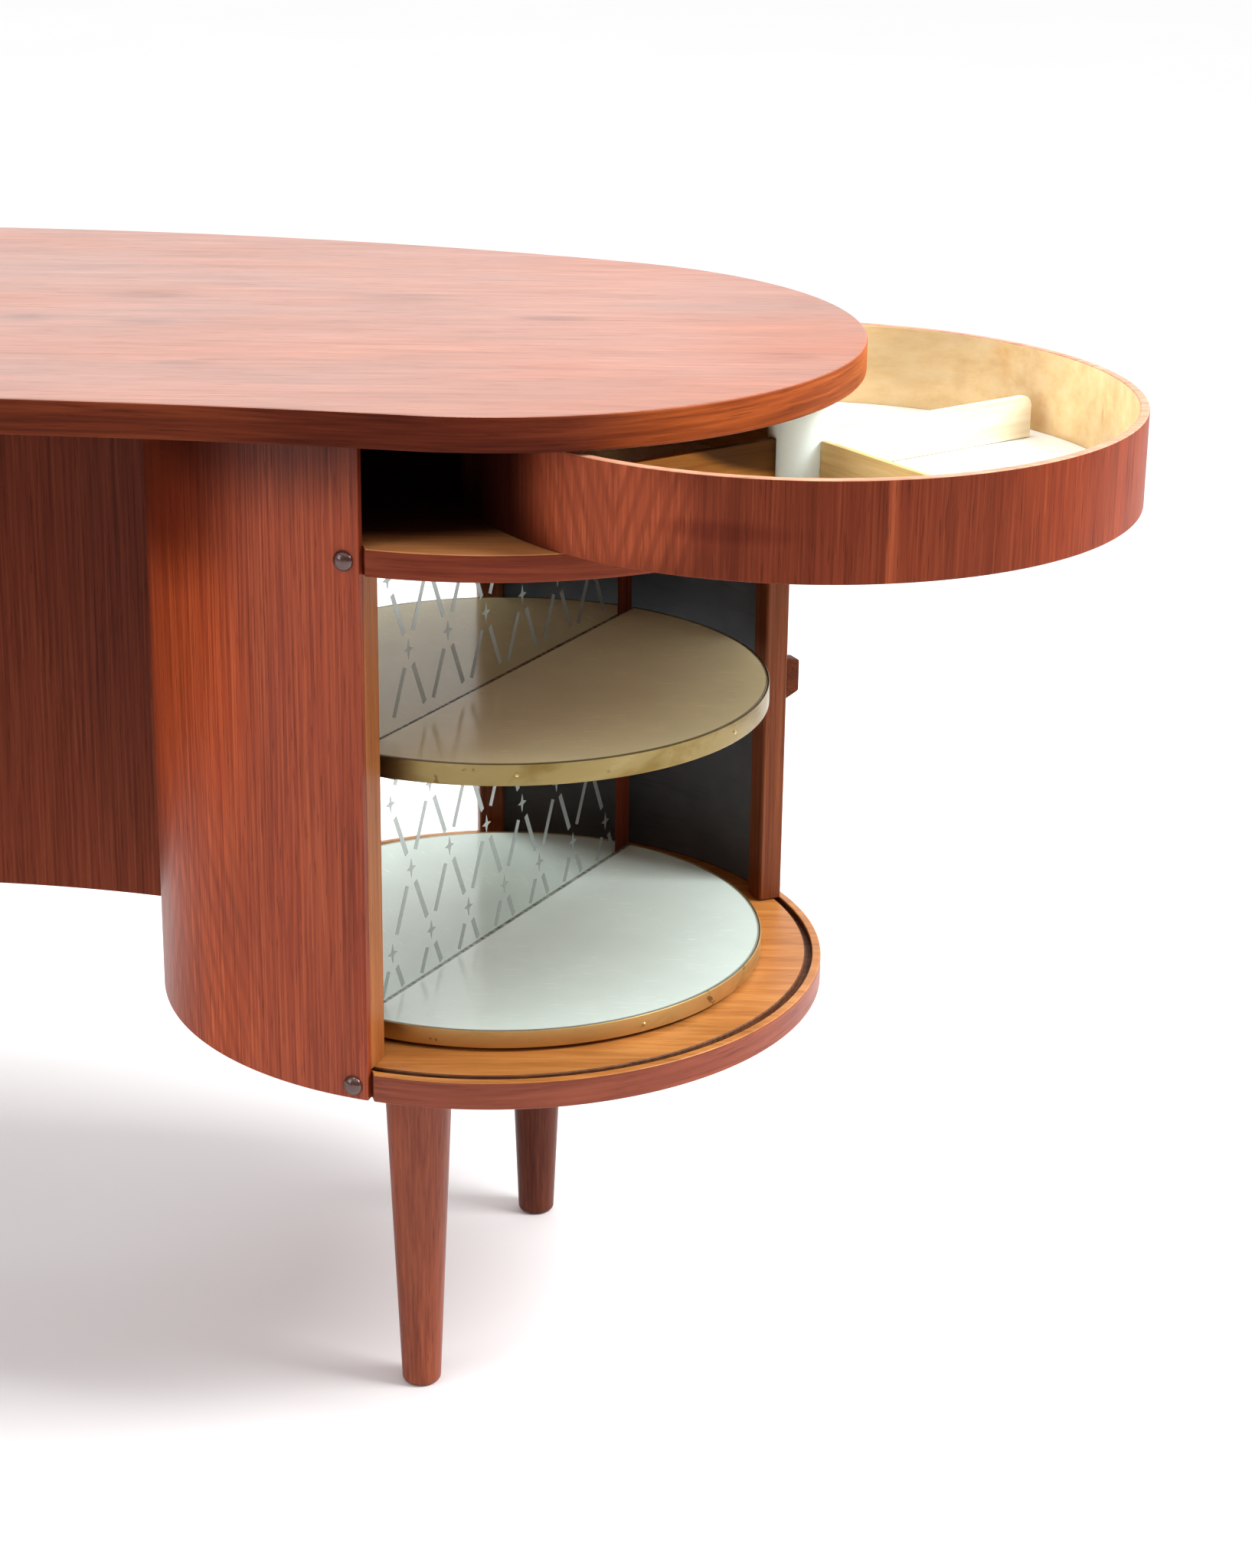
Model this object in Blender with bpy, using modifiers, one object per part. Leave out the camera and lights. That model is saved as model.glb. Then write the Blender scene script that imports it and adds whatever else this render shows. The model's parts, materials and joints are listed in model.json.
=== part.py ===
"""Kidney-shaped desk on two drum pedestals, with round drawers, tambour doors and a revolving bar.

Metres, +Z up, floor at z = 0. The origin is the middle of the desk's box on the floor, with the
right-hand drawer pulled out and the right-hand door open.
Each pedestal has its own frame: x points out of its opening and z is the drum's axis.
"""
import math

import bmesh
import bpy

# Plan of the desktop
DRUM_SPACING = 0.936
DESKTOP_OVERHANG = 0.017
BACK_RADIUS = 1.500
FRONT_WAIST = 0.038

# Heights, from the floor up
LEG_LENGTH = 0.268
BASE_THICKNESS = 0.020
CABINET_HEIGHT = 0.346
DECK_THICKNESS = 0.0185
DRAWER_HEIGHT = 0.066
DRAWER_HEADROOM = 0.003
DESKTOP_THICKNESS = 0.0233

# Drum pedestals: the wall is half a cylinder, and the other half is open
DRUM_RADIUS = 0.240
WALL_THICKNESS = 0.0065
OPENING_TURN = -18.0
JAMB_DEPTH = 0.0235
JAMB_WIDTH = 0.020
EDGE_ROUND = 0.0012

# Legs and the tenons that hold them
FRONT_LEG_INSET = 0.099
FRONT_LEG_TURN = 91.5
REAR_LEG_INSET = 0.104
REAR_LEG_TURN = 96.2
LEG_TOP_RADIUS = 0.0250
LEG_FOOT_RADIUS = 0.0140
LEG_FOOT_ROUND = 0.003
TENON_RADIUS = 0.010
TENON_LENGTH = 0.014

# Plugs that pin the wall to the deck and the base
PLUG_HEAD_RADIUS = 0.0058
PLUG_HEAD_HEIGHT = 0.0032
PLUG_SHANK_RADIUS = 0.003
PLUG_SHANK_LENGTH = 0.016
PLUG_INSET = 0.011

# Panel between the drums
PANEL_RADIUS = 0.800
PANEL_APEX = 0.160
PANEL_THICKNESS = 0.010

# Tambour doors, which run in grooves round the drum
GROOVE_WIDTH = 0.005
GROOVE_DEPTH = 0.005
SLAT_THICKNESS = 0.004
SLAT_COUNT = 48
SLAT_GROOVE = 0.0012
SLAT_OVERLAP = 4.0
CANVAS_THICKNESS = 0.0008
STILE_DEPTH = 0.018
STILE_WIDTH = 0.021
PULL_HEIGHT = 0.0320
PULL_WIDTH = 0.014
PULL_REACH = 0.0118
PULL_LEVEL = 0.1742
PULL_ROUND = 0.002
DOOR_LEAD_RIGHT = 41.0
DOOR_LEAD_CLOSED = -90.0

# Round drawers
DRAWER_SIDE_ROOM = 0.0039
DRAWER_WALL = 0.0065
DRAWER_FLOOR = 0.004
DRAWER_FLOOR_RISE = 0.0031
DRAWER_STOP = 0.0185
HUB_RADIUS = 0.0230
HUB_WALL = 0.0018
HUB_HEIGHT = 0.0544
DIVIDER_THICKNESS = 0.005
DIVIDER_HEIGHT = 0.0304
DIVIDER_END_GAP = 0.0167
DIVIDER_ROUND = 0.008
DIVIDER_TURN = 54.0
DIVIDER_COUNT = 4
RUNNER_WIDTH = 0.018
RUNNER_END_GAP = 0.0091
RUNNER_SLOT_DEPTH = 0.007

# Revolving bar
BAR_FORWARD = 0.007
BAR_TURN = 79.2
BAR_INSET = 0.0508
BAND_THICKNESS = 0.0012
TURNTABLE_THICKNESS = 0.0143
LAMINATE_THICKNESS = 0.0012
WASHER_RADIUS = 0.020
WASHER_THICKNESS = 0.0006
SPINDLE_RADIUS = 0.006
SPINDLE_REACH = 0.009
PARTITION_CORE = 0.008
PARTITION_BACK = 0.0063
MIRROR_THICKNESS = 0.004
POST_WIDTH = 0.022
PARTITION_HEADROOM = 0.004
SHELF_OVERHANG = 0.0011
SHELF_THICKNESS = 0.0151
SHELF_LEVEL = 0.2080
PEG_RADIUS = 0.0025
PEG_REACH = 0.022

# Fixed shelf of the left pedestal
LEFT_SHELF_LEVEL = 0.170
LEFT_SHELF_THICKNESS = 0.012
LEFT_SHELF_GAP = 0.004
LEFT_COLUMN_RADIUS = 0.018
LEFT_COLUMN_FOOT = 0.055
LEFT_COLUMN_RIM = 0.004

# Clearances
SEAT = 0.0003
RUNNING = 0.0005

# Fineness of curves: degrees per facet, and facets per turn
FACET = 6.0
LONG_FACET = 2.0
SMALL_FACET = 15.0
FINE_FACETS = 60
COARSE_FACETS = 24
DRILL_FACETS = 12
ROUND_STEPS = 4
SHARP_ANGLE = 30.0
BEVEL_ANGLE = 40.0
MERGE = 0.00001

# Levels worked out from the heights
BASE_BOTTOM = LEG_LENGTH
BASE_TOP = BASE_BOTTOM + BASE_THICKNESS
DECK_BOTTOM = BASE_TOP + CABINET_HEIGHT
DECK_TOP = DECK_BOTTOM + DECK_THICKNESS
DRAWER_BOTTOM = DECK_TOP + SEAT
DRAWER_TOP = DRAWER_BOTTOM + DRAWER_HEIGHT
DESKTOP_BOTTOM = DRAWER_TOP + DRAWER_HEADROOM
DESKTOP_TOP = DESKTOP_BOTTOM + DESKTOP_THICKNESS
PLUG_LEVELS = {"base": BASE_BOTTOM + BASE_THICKNESS / 2, "deck": DECK_BOTTOM + DECK_THICKNESS / 2}

# Radii worked out from the drum
WALL_INNER = DRUM_RADIUS - WALL_THICKNESS
PLATE_STEP = WALL_INNER - SEAT
GROOVE_INNER = WALL_INNER - GROOVE_WIDTH
SLAT_OUTER = WALL_INNER - RUNNING
SLAT_INNER = SLAT_OUTER - SLAT_THICKNESS
CANVAS_OUTER = SLAT_INNER - SEAT
CANVAS_INNER = CANVAS_OUTER - CANVAS_THICKNESS
STILE_INNER = SLAT_OUTER - STILE_DEPTH
JAMB_INNER = WALL_INNER - JAMB_DEPTH
HALF_SPACING = DRUM_SPACING / 2
LOBE_RADIUS = DRUM_RADIUS + DESKTOP_OVERHANG
FRONT_LEG_OFFSET = DRUM_RADIUS - FRONT_LEG_INSET
REAR_LEG_OFFSET = DRUM_RADIUS - REAR_LEG_INSET
DRAWER_RADIUS = WALL_INNER - DRAWER_SIDE_ROOM
DRAWER_INNER = DRAWER_RADIUS - DRAWER_WALL
DRAWER_OUT = DRUM_RADIUS - DRAWER_STOP
DIVIDER_REACH = DRAWER_INNER - DIVIDER_END_GAP
RUNNER_REACH = DRAWER_INNER - RUNNER_END_GAP
BAR_RADIUS = DRUM_RADIUS - BAR_INSET
SHELF_RADIUS = BAR_RADIUS + SHELF_OVERHANG
LEFT_SHELF_RADIUS = JAMB_INNER - LEFT_SHELF_GAP

RIGHT = 1
LEFT = -1

for leftover in list(bpy.data.objects):
    bpy.data.objects.remove(leftover)

PARTS = bpy.data.collections.new("kidney_desk")
CUTTERS = bpy.data.collections.new("cutters")
bpy.context.scene.collection.children.link(PARTS)
bpy.context.scene.collection.children.link(CUTTERS)


def finish(name, colour, roughness, metallic=0.0):
    """A Principled material with one colour."""
    material = bpy.data.materials.new(name)
    material.use_nodes = True
    shader = material.node_tree.nodes["Principled BSDF"]
    shader.inputs["Base Color"].default_value = (*colour, 1.0)
    shader.inputs["Roughness"].default_value = roughness
    shader.inputs["Metallic"].default_value = metallic
    return material


TEAK = finish("teak", (0.30, 0.09, 0.04), 0.35)
DARK_TEAK = finish("dark_teak", (0.12, 0.03, 0.02), 0.40)
BIRCH = finish("birch", (0.80, 0.58, 0.28), 0.45)
LAMINATE = finish("mint_laminate", (0.64, 0.78, 0.70), 0.25)
BRASS = finish("brass", (0.72, 0.55, 0.22), 0.30, 1.0)
MIRROR = finish("mirror", (0.85, 0.87, 0.86), 0.05, 1.0)
STEEL = finish("steel", (0.55, 0.55, 0.56), 0.35, 1.0)
CANVAS = finish("canvas", (0.09, 0.12, 0.16), 0.85)


def empty(name, location, turn=0.0, parent=None):
    """An empty that carries other pieces."""
    carrier = bpy.data.objects.new(name, None)
    carrier.location = location
    carrier.rotation_euler = (0.0, 0.0, math.radians(turn))
    carrier.parent = parent
    PARTS.objects.link(carrier)
    return carrier


def assemble(piece, carrier, material):
    """Hand a finished piece to its carrier."""
    piece.parent = carrier
    piece.data.materials.append(material)
    piece.data.shade_smooth()
    piece.data.set_sharp_from_angle(angle=math.radians(SHARP_ANGLE))
    return piece


def polar(radius, angle, centre=(0.0, 0.0)):
    """A point at an angle, in degrees, on a circle."""
    turn = math.radians(angle)
    return centre[0] + radius * math.cos(turn), centre[1] + radius * math.sin(turn)


def arc(radius, start, end, centre=(0.0, 0.0), step=FACET):
    """Points on a circle from one angle to another, in degrees."""
    count = max(1, round(abs(end - start) / step))
    return [polar(radius, start + (end - start) * i / count, centre) for i in range(count + 1)]


def circle(radius, centre=(0.0, 0.0), step=FACET):
    """A closed loop of points round a circle."""
    return arc(radius, 0.0, 360.0, centre, step)[:-1]


def sector(inner, outer, start, end):
    """Outline of a curved strip between two radii."""
    return arc(outer, start, end) + arc(inner, end, start)


def box_loop(x_low, x_high, y_low, y_high):
    """Corners of a rectangle."""
    return [(x_low, y_low), (x_high, y_low), (x_high, y_high), (x_low, y_high)]


def handed(hand, start, end):
    """A span of angles, mirrored for the left pedestal."""
    if hand == RIGHT:
        return start, end
    return -end, -start


def swing(width, radius):
    """Degrees that a width takes up on a radius."""
    return math.degrees(width / radius)


def weld(mesh, lift=0.0):
    """Join a mesh's loose caps and point its faces outwards."""
    shape = bmesh.new()
    shape.from_mesh(mesh)
    bmesh.ops.remove_doubles(shape, verts=shape.verts, dist=MERGE)
    bmesh.ops.translate(shape, verts=shape.verts, vec=(0.0, 0.0, lift))
    bmesh.ops.recalc_face_normals(shape, faces=shape.faces)
    shape.to_mesh(mesh)
    shape.free()


def slab(name, loops, bottom, top, collection=PARTS):
    """A flat outline, with any holes in it, extruded between two levels."""
    outline = bpy.data.curves.new(name, "CURVE")
    outline.dimensions = "2D"
    outline.fill_mode = "BOTH"
    outline.extrude = (top - bottom) / 2
    for loop in loops:
        spline = outline.splines.new("POLY")
        spline.points.add(len(loop) - 1)
        spline.use_cyclic_u = True
        for point, (x, y) in zip(spline.points, loop):
            point.co = (x, y, 0.0, 1.0)
    source = bpy.data.objects.new(name + "_outline", outline)
    bpy.context.scene.collection.objects.link(source)
    depsgraph = bpy.context.evaluated_depsgraph_get()
    mesh = bpy.data.meshes.new_from_object(source.evaluated_get(depsgraph))
    bpy.data.objects.remove(source)
    weld(mesh, (bottom + top) / 2)
    piece = bpy.data.objects.new(name, mesh)
    collection.objects.link(piece)
    return piece


def turned(name, profile, facets=COARSE_FACETS, collection=PARTS):
    """A profile of (radius, height) points, from top to bottom, turned about z."""
    mesh = bpy.data.meshes.new(name)
    points = [(radius, 0.0, height) for radius, height in profile]
    mesh.from_pydata(points, [(i, i + 1) for i in range(len(points) - 1)], [])
    piece = bpy.data.objects.new(name, mesh)
    collection.objects.link(piece)
    screw = piece.modifiers.new("turn", "SCREW")
    screw.steps = facets
    screw.render_steps = facets
    screw.use_merge_vertices = True
    screw.merge_threshold = MERGE
    screw.use_smooth_shade = True
    return piece


def rod(name, radius, bottom, top, facets=COARSE_FACETS, collection=PARTS):
    """A plain cylinder on the z axis."""
    return turned(name, [(0.0, top), (radius, top), (radius, bottom), (0.0, bottom)], facets, collection)


def soften(piece, width=EDGE_ROUND):
    """Break a piece's sharp edges."""
    bevel = piece.modifiers.new("edge", "BEVEL")
    bevel.width = width
    bevel.segments = 1
    bevel.limit_method = "ANGLE"
    bevel.angle_limit = math.radians(BEVEL_ANGLE)


def cut(piece, cutter, carrier):
    """Take a cutter's shape out of a piece."""
    cutter.parent = carrier
    cutter.hide_render = True
    cutter.display_type = "WIRE"
    boolean = piece.modifiers.new("cut_" + cutter.name, "BOOLEAN")
    boolean.operation = "DIFFERENCE"
    boolean.solver = "EXACT"
    boolean.object = cutter


def bore(piece, name, radius, level, depth, spot, carrier):
    """Bore a round hole to one depth above and below a level."""
    drill = rod(name, radius, level - depth, level + depth, COARSE_FACETS, CUTTERS)
    drill.location = (*spot, 0.0)
    cut(piece, drill, carrier)


def lay_radially(piece, radius, angle, level):
    """Turn a piece's z axis outwards along a radius of its carrier."""
    piece.location = (*polar(radius, angle), level)
    piece.rotation_euler = (0.0, math.pi / 2, math.radians(angle))


def desktop_outline():
    """Kidney outline: two lobes, a long back arc and a shallow waist in front, all tangent."""
    back_centre = -math.sqrt((BACK_RADIUS - LOBE_RADIUS) ** 2 - HALF_SPACING ** 2)
    waist = LOBE_RADIUS - FRONT_WAIST
    front_radius = (HALF_SPACING ** 2 + waist ** 2 - LOBE_RADIUS ** 2) / (2 * FRONT_WAIST)
    front_centre = -(front_radius + waist)
    back_angle = math.degrees(math.atan2(-back_centre, HALF_SPACING))
    front_angle = math.degrees(math.atan2(-front_centre, HALF_SPACING))
    right_lobe = arc(LOBE_RADIUS, front_angle - 180.0, back_angle, (HALF_SPACING, 0.0))
    back = arc(BACK_RADIUS, back_angle, 180.0 - back_angle, (0.0, back_centre), step=LONG_FACET)
    left_lobe = arc(LOBE_RADIUS, 180.0 - back_angle, 360.0 - front_angle, (-HALF_SPACING, 0.0))
    front = arc(front_radius, 180.0 - front_angle, front_angle, (0.0, front_centre), step=LONG_FACET)
    return right_lobe[:-1] + back[:-1] + left_lobe[:-1] + front[:-1]


def make_desktop(desk):
    top = slab("desktop", [desktop_outline()], DESKTOP_BOTTOM, DESKTOP_TOP)
    soften(top)
    assemble(top, desk, TEAK)


def make_panel(desk):
    """Curved panel between the drums, with ends that seat on the walls."""
    centre = (0.0, PANEL_APEX - PANEL_RADIUS)
    reach = swing(HALF_SPACING, PANEL_RADIUS)
    inner = PANEL_RADIUS - PANEL_THICKNESS / 2
    outer = PANEL_RADIUS + PANEL_THICKNESS / 2
    strip = arc(outer, 90.0 - reach, 90.0 + reach, centre, step=LONG_FACET)
    strip += arc(inner, 90.0 + reach, 90.0 - reach, centre, step=LONG_FACET)
    panel = slab("modesty_panel", [strip], BASE_BOTTOM, DESKTOP_BOTTOM - SEAT)
    for side, word in ((RIGHT, "right"), (LEFT, "left")):
        loop = circle(DRUM_RADIUS + SEAT, (side * HALF_SPACING, 0.0))
        cut(panel, slab("drum_room_" + word, [loop], 0.0, DESKTOP_TOP, CUTTERS), desk)
    assemble(panel, desk, TEAK)


def plate_outline():
    """A disc that is flush with the drum in its opening and fits inside the wall behind."""
    gap = swing(SEAT, DRUM_RADIUS)
    return arc(DRUM_RADIUS, -90.0 + gap, 90.0 - gap) + arc(PLATE_STEP, 90.0 - gap, 270.0 + gap)


def cut_groove(plate, level, carrier):
    """Cut the ring that the door runs in into a plate's face at one level."""
    rings = [circle(WALL_INNER), circle(GROOVE_INNER)]
    cutter = slab("groove_" + plate.name, rings, level - GROOVE_DEPTH, level + GROOVE_DEPTH, CUTTERS)
    cut(plate, cutter, carrier)


def plug_angles(hand):
    """Where the plugs sit, just inside the two ends of the wall."""
    inset = swing(PLUG_INSET, DRUM_RADIUS)
    return {"front": hand * (270.0 - inset), "rear": hand * (90.0 + inset)}


def drill_plugs(piece, hand, place, carrier):
    """Drill a piece for the plugs of the base or the deck."""
    radius = PLUG_SHANK_RADIUS + SEAT
    for end, angle in plug_angles(hand).items():
        name = "_".join(("drill", end, place, piece.name))
        drill = rod(name, radius, -PLUG_SHANK_LENGTH, PLUG_SHANK_LENGTH, DRILL_FACETS, CUTTERS)
        lay_radially(drill, DRUM_RADIUS, angle, PLUG_LEVELS[place])
        cut(piece, drill, carrier)


def leg_spots(hand):
    """The legs stand just behind the diameter that joins the two ends of the wall."""
    front = polar(FRONT_LEG_OFFSET, -FRONT_LEG_TURN * hand)
    rear = polar(REAR_LEG_OFFSET, REAR_LEG_TURN * hand)
    return {"front": front, "rear": rear}


def make_base(hand, word, pedestal):
    base = slab(word + "_base_plate", [plate_outline()], BASE_BOTTOM, BASE_TOP)
    cut_groove(base, BASE_TOP, pedestal)
    for leg, spot in leg_spots(hand).items():
        name = "_".join((word, leg, "tenon_hole"))
        bore(base, name, TENON_RADIUS + SEAT, BASE_BOTTOM, TENON_LENGTH + SEAT, spot, pedestal)
    if hand == RIGHT:
        spot = (BAR_FORWARD, 0.0)
        bore(base, "spindle_hole", SPINDLE_RADIUS + SEAT, BASE_TOP, SPINDLE_REACH + SEAT, spot, pedestal)
    drill_plugs(base, hand, "base", pedestal)
    assemble(base, pedestal, TEAK)


def make_deck(hand, word, pedestal):
    """Plate that carries the drawer, with the runner's slot on top and the door's groove below."""
    deck = slab(word + "_deck", [plate_outline()], DECK_BOTTOM, DECK_TOP)
    cut_groove(deck, DECK_BOTTOM, pedestal)
    half = RUNNER_WIDTH / 2 + RUNNING
    loop = box_loop(-RUNNER_REACH - RUNNING, DRUM_RADIUS + RUNNER_WIDTH, -half, half)
    low = DECK_TOP - RUNNER_SLOT_DEPTH
    high = DECK_TOP + RUNNER_SLOT_DEPTH
    cut(deck, slab(word + "_runner_slot", [loop], low, high, CUTTERS), pedestal)
    drill_plugs(deck, hand, "deck", pedestal)
    assemble(deck, pedestal, TEAK)


def make_wall(hand, word, pedestal):
    """Bent half-cylinder, with the pale jamb that the door shuts on."""
    strip = sector(WALL_INNER, DRUM_RADIUS, 90.0, 270.0)
    wall = slab(word + "_wall", [strip], BASE_BOTTOM, DESKTOP_BOTTOM - SEAT)
    for place in PLUG_LEVELS:
        drill_plugs(wall, hand, place, pedestal)
    assemble(wall, pedestal, TEAK)
    start, end = handed(hand, 270.0 - swing(JAMB_WIDTH, WALL_INNER), 270.0)
    strip = sector(JAMB_INNER, WALL_INNER - SEAT, start, end)
    jamb = slab(word + "_door_jamb", [strip], BASE_TOP + SEAT, DECK_BOTTOM - SEAT)
    assemble(jamb, pedestal, BIRCH)


def make_plugs(hand, word, pedestal):
    """Domed wooden heads with a shank through the wall into the plate behind."""
    dome = [(0.0, SEAT + PLUG_HEAD_HEIGHT)]
    for step in range(1, ROUND_STEPS + 1):
        x, y = polar(1.0, 90.0 - 90.0 * step / ROUND_STEPS)
        dome.append((PLUG_HEAD_RADIUS * x, SEAT + PLUG_HEAD_HEIGHT * y))
    bottom = SEAT - PLUG_SHANK_LENGTH
    profile = dome + [(PLUG_SHANK_RADIUS, SEAT), (PLUG_SHANK_RADIUS, bottom), (0.0, bottom)]
    for place, level in PLUG_LEVELS.items():
        for end, angle in plug_angles(hand).items():
            plug = turned("_".join((word, end, place, "plug")), profile, DRILL_FACETS)
            lay_radially(plug, DRUM_RADIUS, angle, level)
            assemble(plug, pedestal, DARK_TEAK)


def make_legs(hand, word, pedestal):
    """Turned, tapered legs with a tenon in the base plate."""
    top = BASE_BOTTOM - SEAT
    corner = (LEG_FOOT_RADIUS - LEG_FOOT_ROUND, LEG_FOOT_ROUND)
    foot = arc(LEG_FOOT_ROUND, 0.0, -90.0, corner, step=90.0 / ROUND_STEPS)
    profile = [(0.0, top + TENON_LENGTH), (TENON_RADIUS, top + TENON_LENGTH), (TENON_RADIUS, top)]
    profile += [(LEG_TOP_RADIUS, top)] + foot + [(0.0, 0.0)]
    for leg, spot in leg_spots(hand).items():
        piece = turned("_".join((word, leg, "leg")), profile)
        piece.location = (*spot, 0.0)
        assemble(piece, pedestal, TEAK)


def slat_outline(hand, lead):
    """Outer faces of the slats with a groove between each two, and the flat back of the curtain."""
    first = lead + swing(STILE_WIDTH + SEAT, SLAT_OUTER)
    last = lead + 180.0 + SLAT_OVERLAP
    pitch = (last - first) / SLAT_COUNT
    bevel = swing(SLAT_GROOVE, SLAT_OUTER)
    outer = []
    inner = []
    for i in range(SLAT_COUNT):
        start = first + pitch * i
        corners = ((start, SLAT_GROOVE), (start + bevel, 0.0), (start + pitch - bevel, 0.0))
        outer += [polar(SLAT_OUTER - depth, hand * angle) for angle, depth in corners]
        inner.append(polar(SLAT_INNER, hand * start))
    outer.append(polar(SLAT_OUTER, hand * last))
    inner.append(polar(SLAT_INNER, hand * last))
    return outer + inner[::-1]


def make_door(hand, word, lead, axis):
    """Tambour door: slats on a canvas back, a leading stile and its pull."""
    floor = BASE_TOP - GROOVE_DEPTH + RUNNING
    ceiling = DECK_BOTTOM + GROOVE_DEPTH - RUNNING
    slats = slab(word + "_door_slats", [slat_outline(hand, lead)], floor, ceiling)
    assemble(slats, axis, TEAK)
    stile_end = lead + swing(STILE_WIDTH, SLAT_OUTER)
    start, end = handed(hand, stile_end + swing(SEAT, CANVAS_OUTER), lead + 180.0 + SLAT_OVERLAP)
    strip = sector(CANVAS_INNER, CANVAS_OUTER, start, end)
    canvas = slab(word + "_door_canvas", [strip], BASE_TOP + RUNNING, DECK_BOTTOM - RUNNING)
    assemble(canvas, axis, CANVAS)
    start, end = handed(hand, lead, stile_end)
    strip = sector(STILE_INNER, SLAT_OUTER, start, end)
    stile = slab(word + "_door_stile", [strip], BASE_TOP + SEAT, DECK_BOTTOM - SEAT)
    soften(stile)
    assemble(stile, axis, TEAK)
    middle = hand * (lead + stile_end) / 2
    half = swing(PULL_WIDTH, DRUM_RADIUS) / 2
    strip = sector(SLAT_OUTER + SEAT, SLAT_OUTER + PULL_REACH, middle - half, middle + half)
    level = BASE_TOP + PULL_LEVEL
    pull = slab(word + "_door_pull", [strip], level - PULL_HEIGHT / 2, level + PULL_HEIGHT / 2)
    soften(pull, PULL_ROUND)
    assemble(pull, axis, TEAK)


def make_drawer_tray(word, slide):
    """Rim, floor and runner of a round drawer, about the drawer's own centre."""
    rings = [circle(DRAWER_RADIUS), circle(DRAWER_INNER)]
    rim = slab(word + "_drawer_rim", rings, DRAWER_BOTTOM, DRAWER_TOP)
    assemble(rim, slide, TEAK)
    floor_bottom = DRAWER_BOTTOM + DRAWER_FLOOR_RISE
    floor = slab(word + "_drawer_floor", [circle(DRAWER_INNER - SEAT)], floor_bottom, floor_bottom + DRAWER_FLOOR)
    assemble(floor, slide, LAMINATE)
    half = RUNNER_WIDTH / 2
    loop = box_loop(-RUNNER_REACH, RUNNER_REACH, -half, half)
    bottom = DECK_TOP - RUNNER_SLOT_DEPTH + SEAT
    runner = slab(word + "_drawer_runner", [loop], bottom, floor_bottom - SEAT)
    assemble(runner, slide, BIRCH)


def divider_board(name):
    """An upright board on the x axis, from the hub to near the rim, with a rounded top corner."""
    near = HUB_RADIUS + SEAT
    corner = (DIVIDER_REACH - DIVIDER_ROUND, DIVIDER_HEIGHT - DIVIDER_ROUND)
    face = [(near, 0.0), (DIVIDER_REACH, 0.0)]
    face += arc(DIVIDER_ROUND, 0.0, 90.0, corner, step=SMALL_FACET) + [(near, DIVIDER_HEIGHT)]
    return slab(name, [face], -DIVIDER_THICKNESS / 2, DIVIDER_THICKNESS / 2)


def make_drawer_fittings(slide):
    """Hub and radial dividers that stand on the right-hand drawer's floor."""
    floor = DRAWER_BOTTOM + DRAWER_FLOOR_RISE + DRAWER_FLOOR + SEAT
    inner = HUB_RADIUS - HUB_WALL
    top = floor + HUB_HEIGHT
    profile = [(0.0, floor + HUB_WALL), (inner, floor + HUB_WALL), (inner, top)]
    profile += [(HUB_RADIUS, top), (HUB_RADIUS, floor), (0.0, floor)]
    hub = turned("right_drawer_hub", profile)
    assemble(hub, slide, LAMINATE)
    for i in range(DIVIDER_COUNT):
        board = divider_board("right_drawer_divider_" + str(i + 1))
        turn = math.radians(DIVIDER_TURN + 360.0 * i / DIVIDER_COUNT)
        board.rotation_euler = (math.pi / 2, 0.0, turn)
        board.location = (0.0, 0.0, floor)
        assemble(board, slide, BIRCH)


def make_turntable(bar):
    """Laminated disc with a brass band, on a spindle and a thrust washer."""
    bottom = BASE_TOP + WASHER_THICKNESS + 2 * SEAT
    top = bottom + TURNTABLE_THICKNESS
    radius = BAR_RADIUS - BAND_THICKNESS - SEAT
    core_top = top - LAMINATE_THICKNESS - SEAT
    socket = SPINDLE_RADIUS + SEAT
    socket_top = bottom + SPINDLE_REACH + SEAT
    profile = [(0.0, core_top), (radius, core_top), (radius, bottom)]
    profile += [(socket, bottom), (socket, socket_top), (0.0, socket_top)]
    assemble(turned("turntable_core", profile, FINE_FACETS), bar, BIRCH)
    assemble(rod("turntable_laminate", radius, top - LAMINATE_THICKNESS, top, FINE_FACETS), bar, LAMINATE)
    ring = [circle(BAR_RADIUS), circle(BAR_RADIUS - BAND_THICKNESS)]
    assemble(slab("turntable_band", ring, bottom, top), bar, BRASS)
    spindle = rod("bar_spindle", SPINDLE_RADIUS, BASE_TOP - SPINDLE_REACH, bottom + SPINDLE_REACH)
    assemble(spindle, bar, STEEL)
    return top


def make_partition(bar, floor):
    """Upright board with a mirror on each face, held between two posts, its front face near the axis."""
    bottom = floor + SEAT
    top = DECK_BOTTOM - PARTITION_HEADROOM
    core_front = PARTITION_BACK - PARTITION_CORE / 2
    core_rear = PARTITION_BACK + PARTITION_CORE / 2
    front = core_front - SEAT - MIRROR_THICKNESS
    rear = core_rear + SEAT + MIRROR_THICKNESS
    reach = math.sqrt((BAR_RADIUS - BAND_THICKNESS) ** 2 - rear ** 2) - SEAT
    inner = reach - POST_WIDTH
    for word, low, high in (("near", -reach, -inner), ("far", inner, reach)):
        post = slab("partition_" + word + "_post", [box_loop(low, high, front, rear)], bottom, top)
        assemble(post, bar, TEAK)
    span = inner - SEAT
    core = slab("partition_core", [box_loop(-span, span, core_front, core_rear)], bottom, top)
    assemble(core, bar, BIRCH)
    for word, low, high in (("front", front, core_front - SEAT), ("rear", core_rear + SEAT, rear)):
        mirror = slab("mirror_" + word, [box_loop(-span, span, low, high)], bottom, top)
        assemble(mirror, bar, MIRROR)
    return front, inner


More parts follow.
